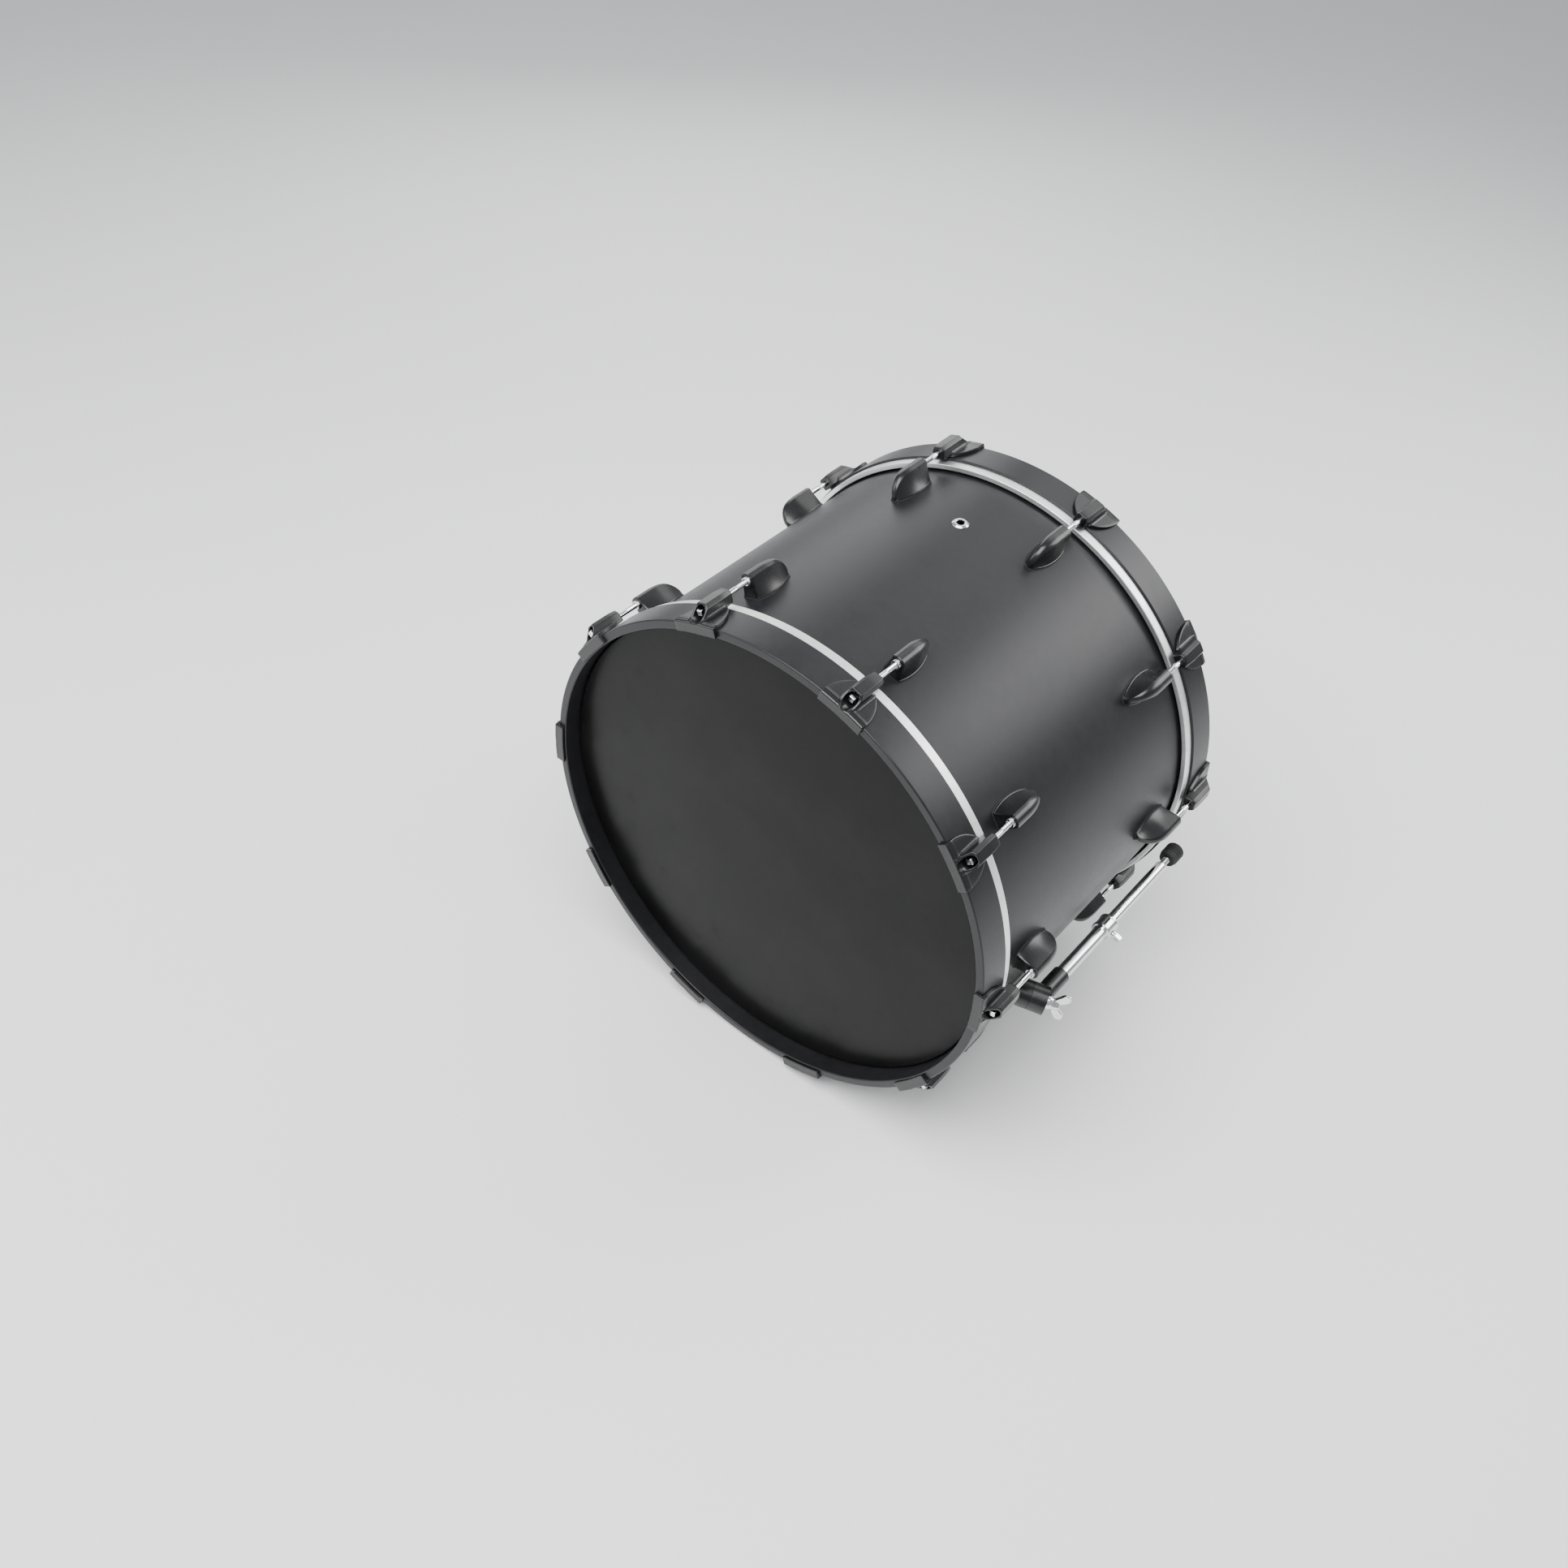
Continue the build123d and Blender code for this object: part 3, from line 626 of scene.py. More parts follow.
@dataclass(frozen=True)
class Film:
    """Black plastic film: smooth, with faint handling marks and a fine pebble."""

    slot: Slot = Slot.FILM
    colour: Colour = grey(0.0025)
    marked: Colour = grey(0.006)
    roughness: float = 0.30

    def material(self) -> bpy.types.Material:
        """Builds the finish.

        Returns:
            The finished material.
        """
        board = Board(self.slot.value)
        point = board.place()
        marks = board.noise(point, 11.0, 5.0, 0.62)
        pebble = board.noise(point, 1400.0, 1.0)
        smears = board.between(board.noise(point, 28.0, 4.0, 0.7), 0.52, 0.75)
        return board.finish(
            {
                "Base Color": board.blend(board.between(marks, 0.35, 0.8), self.colour, self.marked),
                "Roughness": smears * 0.10 + marks * 0.08 + (self.roughness - 0.05),
                "Normal": board.bump(pebble, 0.12, 0.0002),
                "IOR": 1.45,
                "Specular IOR Level": 0.14,
            }
        )


@dataclass(frozen=True)
class Casting:
    """Black coating over cast metal: semi-gloss, a soft peel, and edges rubbed a little paler."""

    slot: Slot = Slot.CASTING
    colour: Colour = grey(0.0045, 0.0004)
    rubbed: Colour = grey(0.05, 0.002)
    roughness: float = 0.27

    def material(self) -> bpy.types.Material:
        """Builds the finish.

        Returns:
            The finished material.
        """
        board = Board(self.slot.value)
        point = board.place()
        peel = board.noise(point, 430.0, 2.0, 0.5)
        grit = board.noise(point, 1900.0, 2.0, 0.6)
        patches = board.noise(point, 45.0, 4.0, 0.6)
        worn = board.edges(0.53, 0.62) * board.between(patches, 0.35, 0.65)
        return board.finish(
            {
                "Base Color": board.blend(worn * 0.35, self.colour, self.rubbed),
                "Roughness": patches * 0.12 + grit * 0.05 + (self.roughness - 0.08) - worn * 0.04,
                "Normal": board.bump(peel * 0.8 + grit * 0.2, 0.09, 0.0004),
                "IOR": 1.5,
                "Specular IOR Level": 0.5,
            }
        )


@dataclass(frozen=True)
class Metal:
    """Bare or plated metal, with fine scratches along one direction and a slight tarnish."""

    slot: Slot
    colour: Colour
    dulled: Colour
    roughness: float
    spread: float
    scratch: Triple
    relief: float
    tarnish_scale: float = 60.0

    def material(self) -> bpy.types.Material:
        """Builds the finish.

        Returns:
            The finished material.
        """
        board = Board(self.slot.value)
        tarnish = board.noise(board.place(), self.tarnish_scale, 4.0, 0.6)
        lines = board.noise(board.place(self.scratch), 1.0, 3.0, 0.7)
        spots = board.between(board.noise(board.place(), 520.0, 2.0), 0.66, 0.80)
        dull = board.between(tarnish, 0.40, 0.85) + spots * 0.35
        return board.finish(
            {
                "Base Color": board.blend(dull, self.colour, self.dulled),
                "Metallic": 1.0,
                "Roughness": lines * self.spread + tarnish * self.spread * 0.6 + self.roughness,
                "Normal": board.bump(lines, self.relief, 0.0002),
            }
        )


@dataclass(frozen=True)
class Moulded:
    """Moulded rubber or nylon: dull, finely grained and a little dusty."""

    slot: Slot
    colour: Colour
    dusty: Colour
    roughness: float
    grain: float = 900.0
    relief: float = 0.3

    def material(self) -> bpy.types.Material:
        """Builds the finish.

        Returns:
            The finished material.
        """
        board = Board(self.slot.value)
        point = board.place()
        grain = board.noise(point, self.grain, 3.0, 0.6)
        dust = board.noise(point, 70.0, 4.0, 0.65)
        return board.finish(
            {
                "Base Color": board.blend(board.between(dust, 0.42, 0.85), self.colour, self.dusty),
                "Roughness": dust * 0.12 + grain * 0.08 + (self.roughness - 0.1),
                "Normal": board.bump(grain, self.relief, 0.0004),
            }
        )


FINISHES: tuple[Any, ...] = (
    Lacquer(Slot.SHELL),
    Lacquer(Slot.HOOP, roughness=0.34, grain=0.22, peel_scale=600.0),
    Film(),
    Casting(),
    Metal(Slot.RING, grey(0.93, 0.006), grey(0.74), 0.30, 0.16, (22.0, 2600.0, 22.0), 0.30),
    Metal(Slot.CHROME, grey(0.82, 0.01), grey(0.56), 0.06, 0.07, (900.0, 300.0, 900.0), 0.06, 130.0),
    Metal(Slot.STEEL, grey(0.58), grey(0.36), 0.24, 0.16, (700.0, 700.0, 700.0), 0.12, 110.0),
    Moulded(Slot.RUBBER, grey(0.014), grey(0.034), 0.72),
    Moulded(Slot.NYLON, grey(0.030), grey(0.060), 0.50, 1500.0, 0.15),
)


class Workshop:
    """Turns forms into pieces, with their finishes and the bodies that they ride on."""

    def __init__(self, drum: Drum) -> None:
        """Builds every finish once."""
        self.drum = drum
        self.materials = {finish.slot: finish.material() for finish in FINISHES}

    def piece(
        self,
        name: str,
        source: Form | bpy.types.Mesh,
        slot: Slot,
        nodes: Sequence[str],
        body: str = DRUM,
        place: Matrix | None = None,
        sharp: float = SHARP_ANGLE,
    ) -> bpy.types.Object:
        """Makes one piece of the drum.

        Args:
            name: The piece's name.
            source: Its form about the drum's centre, or a mesh that it shares with others.
            slot: The finish it has.
            nodes: The frame's nodes that it stands for.
            body: The body it rides on.
            place: The object's own place in metres, for a shared mesh.
            sharp: The angle in degrees from which an edge is shaded sharp.

        Returns:
            The new object.
        """
        shared = isinstance(source, bpy.types.Mesh)
        mesh = source if shared else source.mesh(name, self.drum.lift, sharp)
        if not mesh.materials:
            mesh.materials.append(self.materials[slot])
        made = placed(name, mesh)
        if place is not None:
            made.matrix_world = place
        shading = made.modifiers.new("even_shading", "WEIGHTED_NORMAL")
        shading.keep_sharp = True
        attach(made, body)
        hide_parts(*nodes)
        log.info("%s: %d faces, rides on %s", name, len(mesh.polygons), body)
        return made

    def dress(self, node: str, slot: Slot) -> None:
        """Gives a CAD node that stays its finish.

        Args:
            node: The node's name.
            slot: The finish that it gets.
        """
        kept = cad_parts[node]
        if not kept.material_slots:
            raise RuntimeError(f"{node} has no material slot")
        for holder in kept.material_slots:
            holder.material = self.materials[slot]
        shading = kept.modifiers.new("even_shading", "WEIGHTED_NORMAL")
        shading.keep_sharp = True
        log.info("%s: kept from the frame", node)


# ---------------------------------------------------------------- the drum's own pieces


@dataclass
class Shell:
    """The drum's shell, with its bearing edges and vent hole."""

    drum: Drum
    bearing_cut: float = 4.5
    bearing_round: float = 1.8
    vent_y: float = 90.0
    vent_hole: float = 5.9
    inner_lip_round: float = 0.4
    rows: float = 9.0

    def form(self) -> Form:
        """The shell without its holes.

        Returns:
            The form, in millimetres.
        """
        inner = self.drum.shell_radius - self.drum.shell_wall
        outer, edge = self.drum.shell_radius, self.drum.edge_y
        profile = rounded(
            [
                (inner, -edge + self.bearing_cut),
                (inner + self.bearing_cut, -edge),
                (outer, -edge),
                (outer, edge),
                (inner + self.bearing_cut, edge),
                (inner, edge - self.bearing_cut),
            ],
            {
                1: self.inner_lip_round,
                2: self.bearing_round,
                3: self.bearing_round,
                4: self.inner_lip_round,
            },
        )
        return Form().spin(divided(profile, self.rows), ALONG_Y, LATHE_STEPS)

    def vent_cutter(self) -> bpy.types.Object:
        """Makes the plug whose space the vent's hole takes.

        Returns:
            The plug.
        """
        low, high = self.drum.shell_radius - 2 * self.drum.shell_wall, self.drum.shell_radius + 5
        place = Matrix.Translation((0, self.vent_y, 0))
        profile = [(0, low), (self.vent_hole, low), (self.vent_hole, high), (0, high)]
        plug = Form().spin(profile, place, 40, False)
        return placed("vent_plug", plug.mesh("vent_plug", self.drum.lift))

    def build(self, workshop: Workshop) -> None:
        """Makes the shell and cuts its vent hole.

        Args:
            workshop: Where its pieces are made.
        """
        made = workshop.piece("drum_shell", self.form(), Slot.SHELL, ["shell"])
        plug = self.vent_cutter()
        cut = made.modifiers.new("vent_hole", "BOOLEAN")
        cut.operation = "DIFFERENCE"
        cut.solver = "EXACT"
        cut.object = plug
        made.modifiers.move(len(made.modifiers) - 1, 0)
        bpy.context.view_layer.update()
        finished = bpy.data.meshes.new_from_object(
            made.evaluated_get(bpy.context.evaluated_depsgraph_get())
        )
        made.modifiers.clear()
        made.data = finished
        bpy.data.objects.remove(plug)


@dataclass
class Vent:
    """The chromed eyelet in the vent hole."""

    drum: Drum
    y: float = 90.0
    bore: float = 4.5
    tube_wall: float = 1.1
    flange: float = 9.3
    height: float = 2.0
    lip: float = 1.0
    washer: float = 1.0

    def form(self) -> Form:
        """The eyelet, turned about its own axis at the top of the drum.

        Returns:
            The form, in millimetres.
        """
        seat = self.drum.shell_radius
        tube = self.bore + self.tube_wall
        inside = math.sqrt((seat - self.drum.shell_wall) ** 2 - self.flange**2) - self.washer
        profile = rounded(
            [
                (self.bore, inside - self.lip),
                (self.bore, seat + self.height * 0.80),
                (self.bore + 0.9, seat + self.height),
                (self.flange - 2.2, seat + self.height),
                (self.flange, seat + 0.55),
                (self.flange, seat - 0.12),
                (tube, seat - 0.12),
                (tube, inside),
                (tube + self.lip, inside),
                (tube + self.lip, inside - self.lip),
            ],
            {0: 0.3, 2: 0.6, 3: 1.3, 4: 0.35, 9: 0.4},
        )
        return Form().spin(profile, Matrix.Translation((0, self.y, 0)), 64)

    def build(self, workshop: Workshop) -> None:
        """Makes the eyelet and dresses its washer."""
        workshop.piece("vent_grommet", self.form(), Slot.CHROME, ["vent_eyelet"])
        workshop.dress("vent_washer", Slot.STEEL)


@dataclass
class Head:
    """A drumhead at one end: its film and its aluminium ring."""

    drum: Drum
    end: End
    grip_depth: float = 5.0
    grip: float = 3.0
    film_round: float = 1.8
    ring_round: float = 0.9

    def film(self) -> Form:
        """The film: flat across the drum, then down a collar to a rim held in the ring.

        Returns:
            The form, in millimetres.
        """
        drum, thick = self.drum, self.drum.film_thickness
        inner = drum.shell_radius + drum.film_gap
        outer, rim = drum.film_outer, drum.ring_outer - drum.ring_wall + self.grip
        grip_y = drum.ring_top - self.grip_depth
        flat = [(inner * (step + 1) / 6, drum.edge_y) for step in range(5)]
        back = [(r, drum.edge_y + thick) for r, _ in reversed(flat)]
        corners = [
            (0.0, drum.edge_y),
            *flat,
            (inner, drum.edge_y),
            (inner, grip_y),
            (rim, grip_y),
            (rim, grip_y + thick),
            (outer, grip_y + thick),
            (outer, drum.edge_y + thick),
            *back,
            (0.0, drum.edge_y + thick),
        ]
        first, last = 1 + len(flat), 6 + len(flat)
        profile = rounded(corners, {first: self.film_round, last: self.film_round + thick}, 5)
        return Form().spin(profile, ALONG_Y, LATHE_STEPS, False)

    def ring(self) -> Form:
        """The ring, with the slot that holds the film's rim.

        Returns:
            The form, in millimetres.
        """
        drum, thick = self.drum, self.drum.film_thickness
        inner, outer = drum.ring_outer - drum.ring_wall, drum.ring_outer
        grip_y = drum.ring_top - self.grip_depth
        corners = [
            (inner, drum.ring_bottom),
            (outer, drum.ring_bottom),
            (outer, drum.ring_top),
            (inner, drum.ring_top),
            (inner, grip_y + thick),
            (inner + self.grip, grip_y + thick),
            (inner + self.grip, grip_y),
            (inner, grip_y),
        ]
        rounds = {0: self.ring_round, 1: self.ring_round, 2: self.ring_round}
        return Form().spin(divided(rounded(corners, rounds), 4.0), ALONG_Y, LATHE_STEPS)

    def build(self, workshop: Workshop) -> None:
        """Makes the film and the ring.

        Args:
            workshop: Where its pieces are made.
        """
        turn, word = self.drum.turn(0, self.end), self.end.word
        film, ring = Form().add(self.film(), turn), Form().add(self.ring(), turn)
        workshop.piece(f"{word}_film", film, Slot.FILM, [f"{word}_head_film"])
        workshop.piece(f"{word}_ring", ring, Slot.RING, [f"{word}_head_ring"])


@dataclass
class Hoop:
    """A lacquered wooden hoop."""

    drum: Drum
    end: End
    outer_round: float = 1.5
    inner_round: float = 1.5
    back_round: float = 0.75
    rows: float = 8.0

    def form(self) -> Form:
        """The hoop for the rear end.

        Returns:
            The form, in millimetres.
        """
        outer = self.drum.hoop_outer
        inner = outer - self.drum.hoop_wall
        corners = [
            (inner, self.drum.ring_top),
            (outer, self.drum.ring_top),
            (outer, self.drum.hoop_face),
            (inner, self.drum.hoop_face),
        ]
        rounds = {1: self.back_round, 2: self.outer_round, 3: self.inner_round}
        return Form().spin(divided(rounded(corners, rounds, 5), self.rows), ALONG_Y, LATHE_STEPS)

    def build(self, workshop: Workshop) -> None:
        """Makes the hoop.

        Args:
            workshop: Where its pieces are made.
        """
        word = self.end.word
        form = Form().add(self.form(), self.drum.turn(0, self.end))
        workshop.piece(f"{word}_wood_hoop", form, Slot.HOOP, [f"{word}_hoop"])


# ---------------------------------------------------------------- claws


@dataclass
class Claw:
    """A claw: a shield-shaped plate over the hoop, a hook over its face, and a barrel for the rod."""

    drum: Drum
    wall: float = 3.0
    half: float = 26.0
    neck: float = 9.6
    pad: float = 0.8
    pad_inset: float = 2.0
    hook_inner: float = 280.46
    edge_round: float = 0.9
    fillet: float = 3.2
    ridge: float = 0.5
    bulge_width: float = 0.72
    bulge_place: float = 0.38
    channel_inset: float = 1.2
    channel_length: float = 9.0
    channel_lean: float = 75.0
    hidden_height: float = 0.6
    hook_round: float = 0.7
    lip_y: float = 222.6
    lip_half: float = 1.5
    ridge_lean: float = 55.0
    ridge_spread: float = 40.0
    bend_steps: int = 6
    plate_steps: int = 26
    facet_height: float = 3.9
    top_half: float = 5.5
    barrel_half: float = 8.6
    barrel_top: float = 8.1
    barrel_bottom: float = 7.5
    barrel_start: float = 178.0
    barrel_end: float = 221.1
    visor: float = 3.4
    cut_back: float = 8.6
    counterbore: float = 6.6
    counterbore_floor: float = 206.1
    bore: float = 3.1

    @property
    def base(self) -> float:
        """The radius of the plate's underside."""
        return self.drum.hoop_outer + self.pad

    @property
    def shoulder(self) -> float:
        """The y of the inside of the hook."""
        return self.drum.hoop_face + self.pad

    @property
    def start(self) -> float:
        """The y where the plate starts, at its neck."""
        return self.drum.ring_top + self.pad_inset

    def side(self) -> Callable[[float], float]:
        """The plate's half-width at each y.

        Returns:
            A function that gives the half-width at a y.
        """
        middle_x = self.neck + self.bulge_width * (self.half - self.neck)
        middle_y = self.start + self.bulge_place * (self.shoulder - self.start)
        return bowed((self.half, self.shoulder), (middle_x, middle_y), (self.neck, self.start))

    def section(self, half: float, fillet: float, trough: float, rise: float, inset: float) -> list[Point]:
        """One loop across the plate.

        Args:
            half: The plate's half-width here.
            fillet: The radius of the fillet up to the barrel.
            trough: How deep the counterbore's channel is here, from 0 to 1, or -1 under the barrel.
            rise: How far a cross ridge lifts the top.
            inset: How far the loop is drawn in, at an end of the plate.

        Returns:
            Points of (across, height above the underside), from one edge over the top and back below.
        """
        edge, top, barrel = self.edge_round, self.wall + rise - inset, self.barrel_half
        outer = half - inset
        right = [
            (outer, inset * 0.4),
            (outer, top - edge),
            (outer - edge * ARC_MIDDLE, top - edge * ARC_MIDDLE),
            (outer - edge, top),
        ]
        near = barrel + fillet
        for step in range(1, 5):
            right.append((outer - edge + (near - outer + edge) * step / 4, top))
        for step in range(1, 7):
            turn = math.radians(90 - 15 * step)
            right.append((barrel + fillet * (1 - math.cos(turn)), top + fillet * (1 - math.sin(turn))))
        inner = barrel - self.channel_inset
        for step in range(8):
            across = inner * (1 - step / 7)
            if trough < 0:
                height = self.hidden_height
            else:
                depth = math.sqrt(max(0.0, self.counterbore**2 - across**2))
                height = min(top, top + (self.drum.rod_axis - self.base - depth - top) * trough)
            right.append((across, height))
        left = [(-x, n) for x, n in reversed(right[:-1])]
        under = [(-outer + 2 * outer * step / 10, inset * 0.4) for step in range(1, 10)]
        return right + left + under

    def stations(self) -> list[tuple[float, float, float, float, float, float]]:
        """The plate's stations from its neck to the hook's tip.

        Returns:
            For each one, its y, its radius, the lean of its thickness in degrees, its half-width, the
            radius of its fillet and its inset.
        """
        side = self.side()
        rows = []
        for step in range(self.plate_steps + 1):
            y = self.start + (self.shoulder - self.start) * step / self.plate_steps
            room = max(0.02, 0.8 * (side(y) - self.edge_round - self.barrel_half))
            fade = 1 - 0.75 * eased(y, self.barrel_end - 6.0, self.shoulder)
            rows.append((y, self.base, 0.0, side(y), min(self.fillet, room) * fade, 0.0))
        rows.insert(0, (self.start - 0.001, self.base, 0.0, side(self.start), 0.02, 0.5))
        for step in range(1, self.bend_steps + 1):
            lean = 90 / self.bend_steps * step
            fillet = 0.25 * self.fillet * (1 - eased(lean, 0.0, 60.0))
            rows.append((self.shoulder, self.base, lean, self.half, fillet, 0.0))
        for step in range(1, self.bend_steps + 1):
            radius = self.base + (self.hook_inner + self.hook_round - self.base) * step / self.bend_steps
            rows.append((self.shoulder, radius, 90.0, self.half, 0.0, 0.0))
        rows.append((self.shoulder, self.hook_inner, 90.0, self.half, 0.0, self.hook_round))
        return rows

    def plate(self) -> Form:
        """The plate and its hook.

        Returns:
            The form, in millimetres.
        """
        loops = []
        for y, radius, lean, half, fillet, inset in self.stations():
            angle = math.radians(lean)
            covered = y < self.barrel_end - self.channel_length
            trough = -1.0 if covered else 1 - eased(lean, 0.0, self.channel_lean)
            lip = bump_at(y, self.lip_y, self.lip_half) if lean == 0.0 else 0.0
            fold = bump_at(lean, self.ridge_lean, self.ridge_spread) if radius == self.base else 0.0
            rise = self.ridge * lip + self.ridge * fold
            loop = []
            for across, height in self.section(half, fillet, trough, rise, inset):
                reach = radius + height * math.cos(angle)
                along = y + height * math.sin(angle)
                loop.append(Vector((across, along, math.sqrt(reach**2 - across**2))))
            loops.append(loop)
        return Form().loft(loops)

    def barrel_outline(self) -> list[Point]:
        """The barrel's section about the rod: upright sides, two facets and a narrow flat top.

        Returns:
            The outline's points in order.
        """
        half, top, low = self.barrel_half, self.barrel_top, -self.barrel_bottom
        facet, flat = self.facet_height, self.top_half
        corners = [(-half, low), (-half, facet), (-flat, top), (flat, top), (half, facet), (half, low)]
        return divided(rounded(corners, {0: 1.5, 1: 2.0, 2: 0.8, 3: 0.8, 4: 2.0, 5: 1.5}), 1.3)

    def barrel(self) -> Form:
        """The barrel, with the rod's bore and the counterbore for its head.

        Returns:
            The form, in millimetres.
        """
        outline = self.barrel_outline()
        start, end = self.barrel_start, self.barrel_end

        def slant(z: float, back: float) -> float:
            """The y of the mouth at a height about the rod: the top is cut back, the foot runs forward."""
            share = eased(z, -self.barrel_bottom, self.barrel_top)
            return end + self.visor - (self.visor + self.cut_back) * share - back

        def outer(y: float, scale: float) -> list[Vector]:
            """The outline at a y, scaled about the rod."""
            return [Vector((x * scale, y, self.drum.rod_axis + z * scale)) for x, z in outline]

        def mouth(back: float, scale: float) -> list[Vector]:
            """The outline just behind the slanted mouth, scaled about the rod."""
            axis = self.drum.rod_axis
            return [Vector((x * scale, slant(z * scale, back), axis + z * scale)) for x, z in outline]

        def circle(y: float | None, radius: float, back: float = 0.0) -> list[Vector]:
            """A circle in line with the outline's points, at a y or just behind the slanted mouth.

            Args:
                y: Its y, or none to stand at the slanted mouth.
                radius: The circle's radius.
                back: How far behind the mouth it stands.

            Returns:
                The loop's points in order.
            """
            points = [Vector(p).normalized() * radius for p in outline]
            axis = self.drum.rod_axis
            return [Vector((p.x, slant(p.y, back) if y is None else y, axis + p.y)) for p in points]

        taper = [(0.0, 0.80), (0.25, 0.845), (0.9, 0.885), (2.0, 0.91)]
        taper += [(6.0, 0.955), (11.0, 0.99), (15.0, 1.0)]
        loops = [outer(start + along, scale) for along, scale in taper]
        loops += [outer(start + 21.0, 1.0), outer(start + 27.0, 1.0)]
        loops += [mouth(2.0, 1.0), mouth(0.8, 1.0), mouth(0.25, 0.985), mouth(0.0, 0.955)]
        loops += [circle(None, self.counterbore + 0.45), circle(None, self.counterbore, 0.45)]
        loops += [circle(self.counterbore_floor, self.counterbore)]
        loops += [circle(self.counterbore_floor, self.bore), circle(start + 0.5, self.bore)]
        loops += [circle(start, self.bore + 0.5)]
        return Form().grid(loops, wrap_rows=True, wrap_columns=True)

    def build(self, workshop: Workshop) -> None:
        """Makes both ends' claws and dresses their pads and washers.

        Args:
            workshop: Where its pieces are made.
        """
        form = self.plate().add(self.barrel())
        for end in End:
            name = f"{end.word}_claws"
            workshop.piece(f"{name}_cast", self.drum.around(form, [end]), Slot.CASTING, [name], sharp=40.0)
        workshop.dress("claw_pads", Slot.RUBBER)
        workshop.dress("rod_washers", Slot.NYLON)


# ---------------------------------------------------------------- lugs


@dataclass
class Lug:
    """A lug: a leaf-shaped foot that rises in sloping sides to a barrel, bored for its swivel nut."""

    drum: Drum
    setback: float = 56.2
    length: float = 56.0
    front_half: float = 10.2
    wide_half: float = 13.6
    tail_half: float = 5.4
    tail_bulge: float = 2.2
    widest_at: float = 0.45
    fall_start: float = 0.42
    fall_length: float = 0.58
    sag: float = 0.10
    fall_power: float = 3.6
    fall_root: float = 0.62
    narrow_start: float = 0.5
    narrow_share: float = 0.66
    narrow_power: float = 1.25
    tail_steps: int = 22
    corner: float = 2.4
    rim: float = 1.9
    ridge_half: float = 7.3
    ridge_height: float = 4.9
    crown_height: float = 8.0
    gasket_lip: float = 0.5
    nut_bore: float = 5.05
    nut_depth: float = 21.9
    rod_bore: float = 3.4
    rod_depth: float = 31.8

    @property
    def front(self) -> float:
        """The y of the lug's front face."""
        return self.drum.edge_y - self.setback

    def half_width(self, y: float, lip: float = 0.0) -> float:
        """The foot's half-width at a y, or a gasket's with a lip all round.

        Args:
            y: The place along the drum's axis.
            lip: A gasket's lip, or 0 for the lug.

        Returns:
            The half-width.
        """
        front, tail = self.front + lip, self.front - self.length - lip
        wide_y = self.front - self.widest_at * self.length
        tail_corner = tail + self.tail_bulge
        widest = (self.wide_half + lip, wide_y)
        side = bowed((self.front_half + lip, front), widest, (self.tail_half + lip, tail_corner))
        if y < tail_corner:
            radius = ((self.tail_half + lip) ** 2 + self.tail_bulge**2) / (2 * self.tail_bulge)
            return math.sqrt(max(0.0, radius**2 - (y - tail - radius) ** 2))
        into = front - y
        corner = self.corner + lip
        if into < corner:
            return side(y) - corner + math.sqrt(max(0.0, corner**2 - (corner - into) ** 2))
        return side(y)

    def height_share(self, y: float) -> float:
        """How much of its full height the lug has at a y: all of it, then a steep fall to the tail.

        Args:
            y: The place along the drum's axis.

        Returns:
            The share, from 0 to 1.
        """
        share = (self.front - y) / self.length
        fall = max(0.0, (share - self.fall_start) / self.fall_length)
        return (1 - self.sag * fall) * max(0.0, 1 - fall**self.fall_power) ** self.fall_root

    def section(self, y: float, inset: float = 0.0) -> list[Vector]:
        """The closed loop round the lug at a y, drawn in by an inset.

        Args:
            y: The place along the drum's axis.
            inset: How far the loop is drawn in.

        Returns:
            The loop's points in order.
        """
        drum = self.drum
        half = max(0.01, self.half_width(y) - inset)
        share = self.height_share(y)
        foot = drum.gasket_outer
        low = foot + self.rim
        ridge_top = low + (drum.rod_axis + self.ridge_height - low) * share
        crown_top = low + (drum.rod_axis + self.crown_height - inset - low) * share
        narrowing = max(0.0, ((self.front - y) / self.length - self.narrow_start) / (1 - self.narrow_start))
        narrowed = self.ridge_half * (1 - self.narrow_share * narrowing**self.narrow_power)
        ridge_half = min(half * 0.80, narrowed - inset)
        right = [(half * step / 5, math.sqrt(foot**2 - (half * step / 5) ** 2)) for step in range(6)]
        drop = foot - math.sqrt(foot**2 - half**2)
        rim = min(self.rim, self.rim * (0.35 + share))
        right += [(half, foot - drop + rim * 0.68), (half * 0.985 - 0.12, foot - drop + rim * 0.92)]
        first = Vector((half * 0.95 - 0.25, foot - drop * 0.8 + rim))
        last = Vector((ridge_half, ridge_top))
        pull = Vector((last.x + (first.x - last.x) * 0.30, first.y + (last.y - first.y) * 0.40))
        for step in range(9):
            t = step / 8
            right.append(tuple(first * (1 - t) ** 2 + pull * (2 * t * (1 - t)) + last * t**2))
        right.append((ridge_half - 0.22, ridge_top + 0.16 * share))
        rise = max(0.05, crown_top - ridge_top)
        curve = (ridge_half**2 + rise**2) / (2 * rise)
        for step in range(1, 9):
            across = ridge_half * (1 - step / 8) * (1 - 0.02)
            right.append((across, crown_top - curve + math.sqrt(max(0.0, curve**2 - across**2))))
        left = [(-x, z) for x, z in reversed(right[1:-1])]
        return [Vector((x, y, z)) for x, z in right + left]

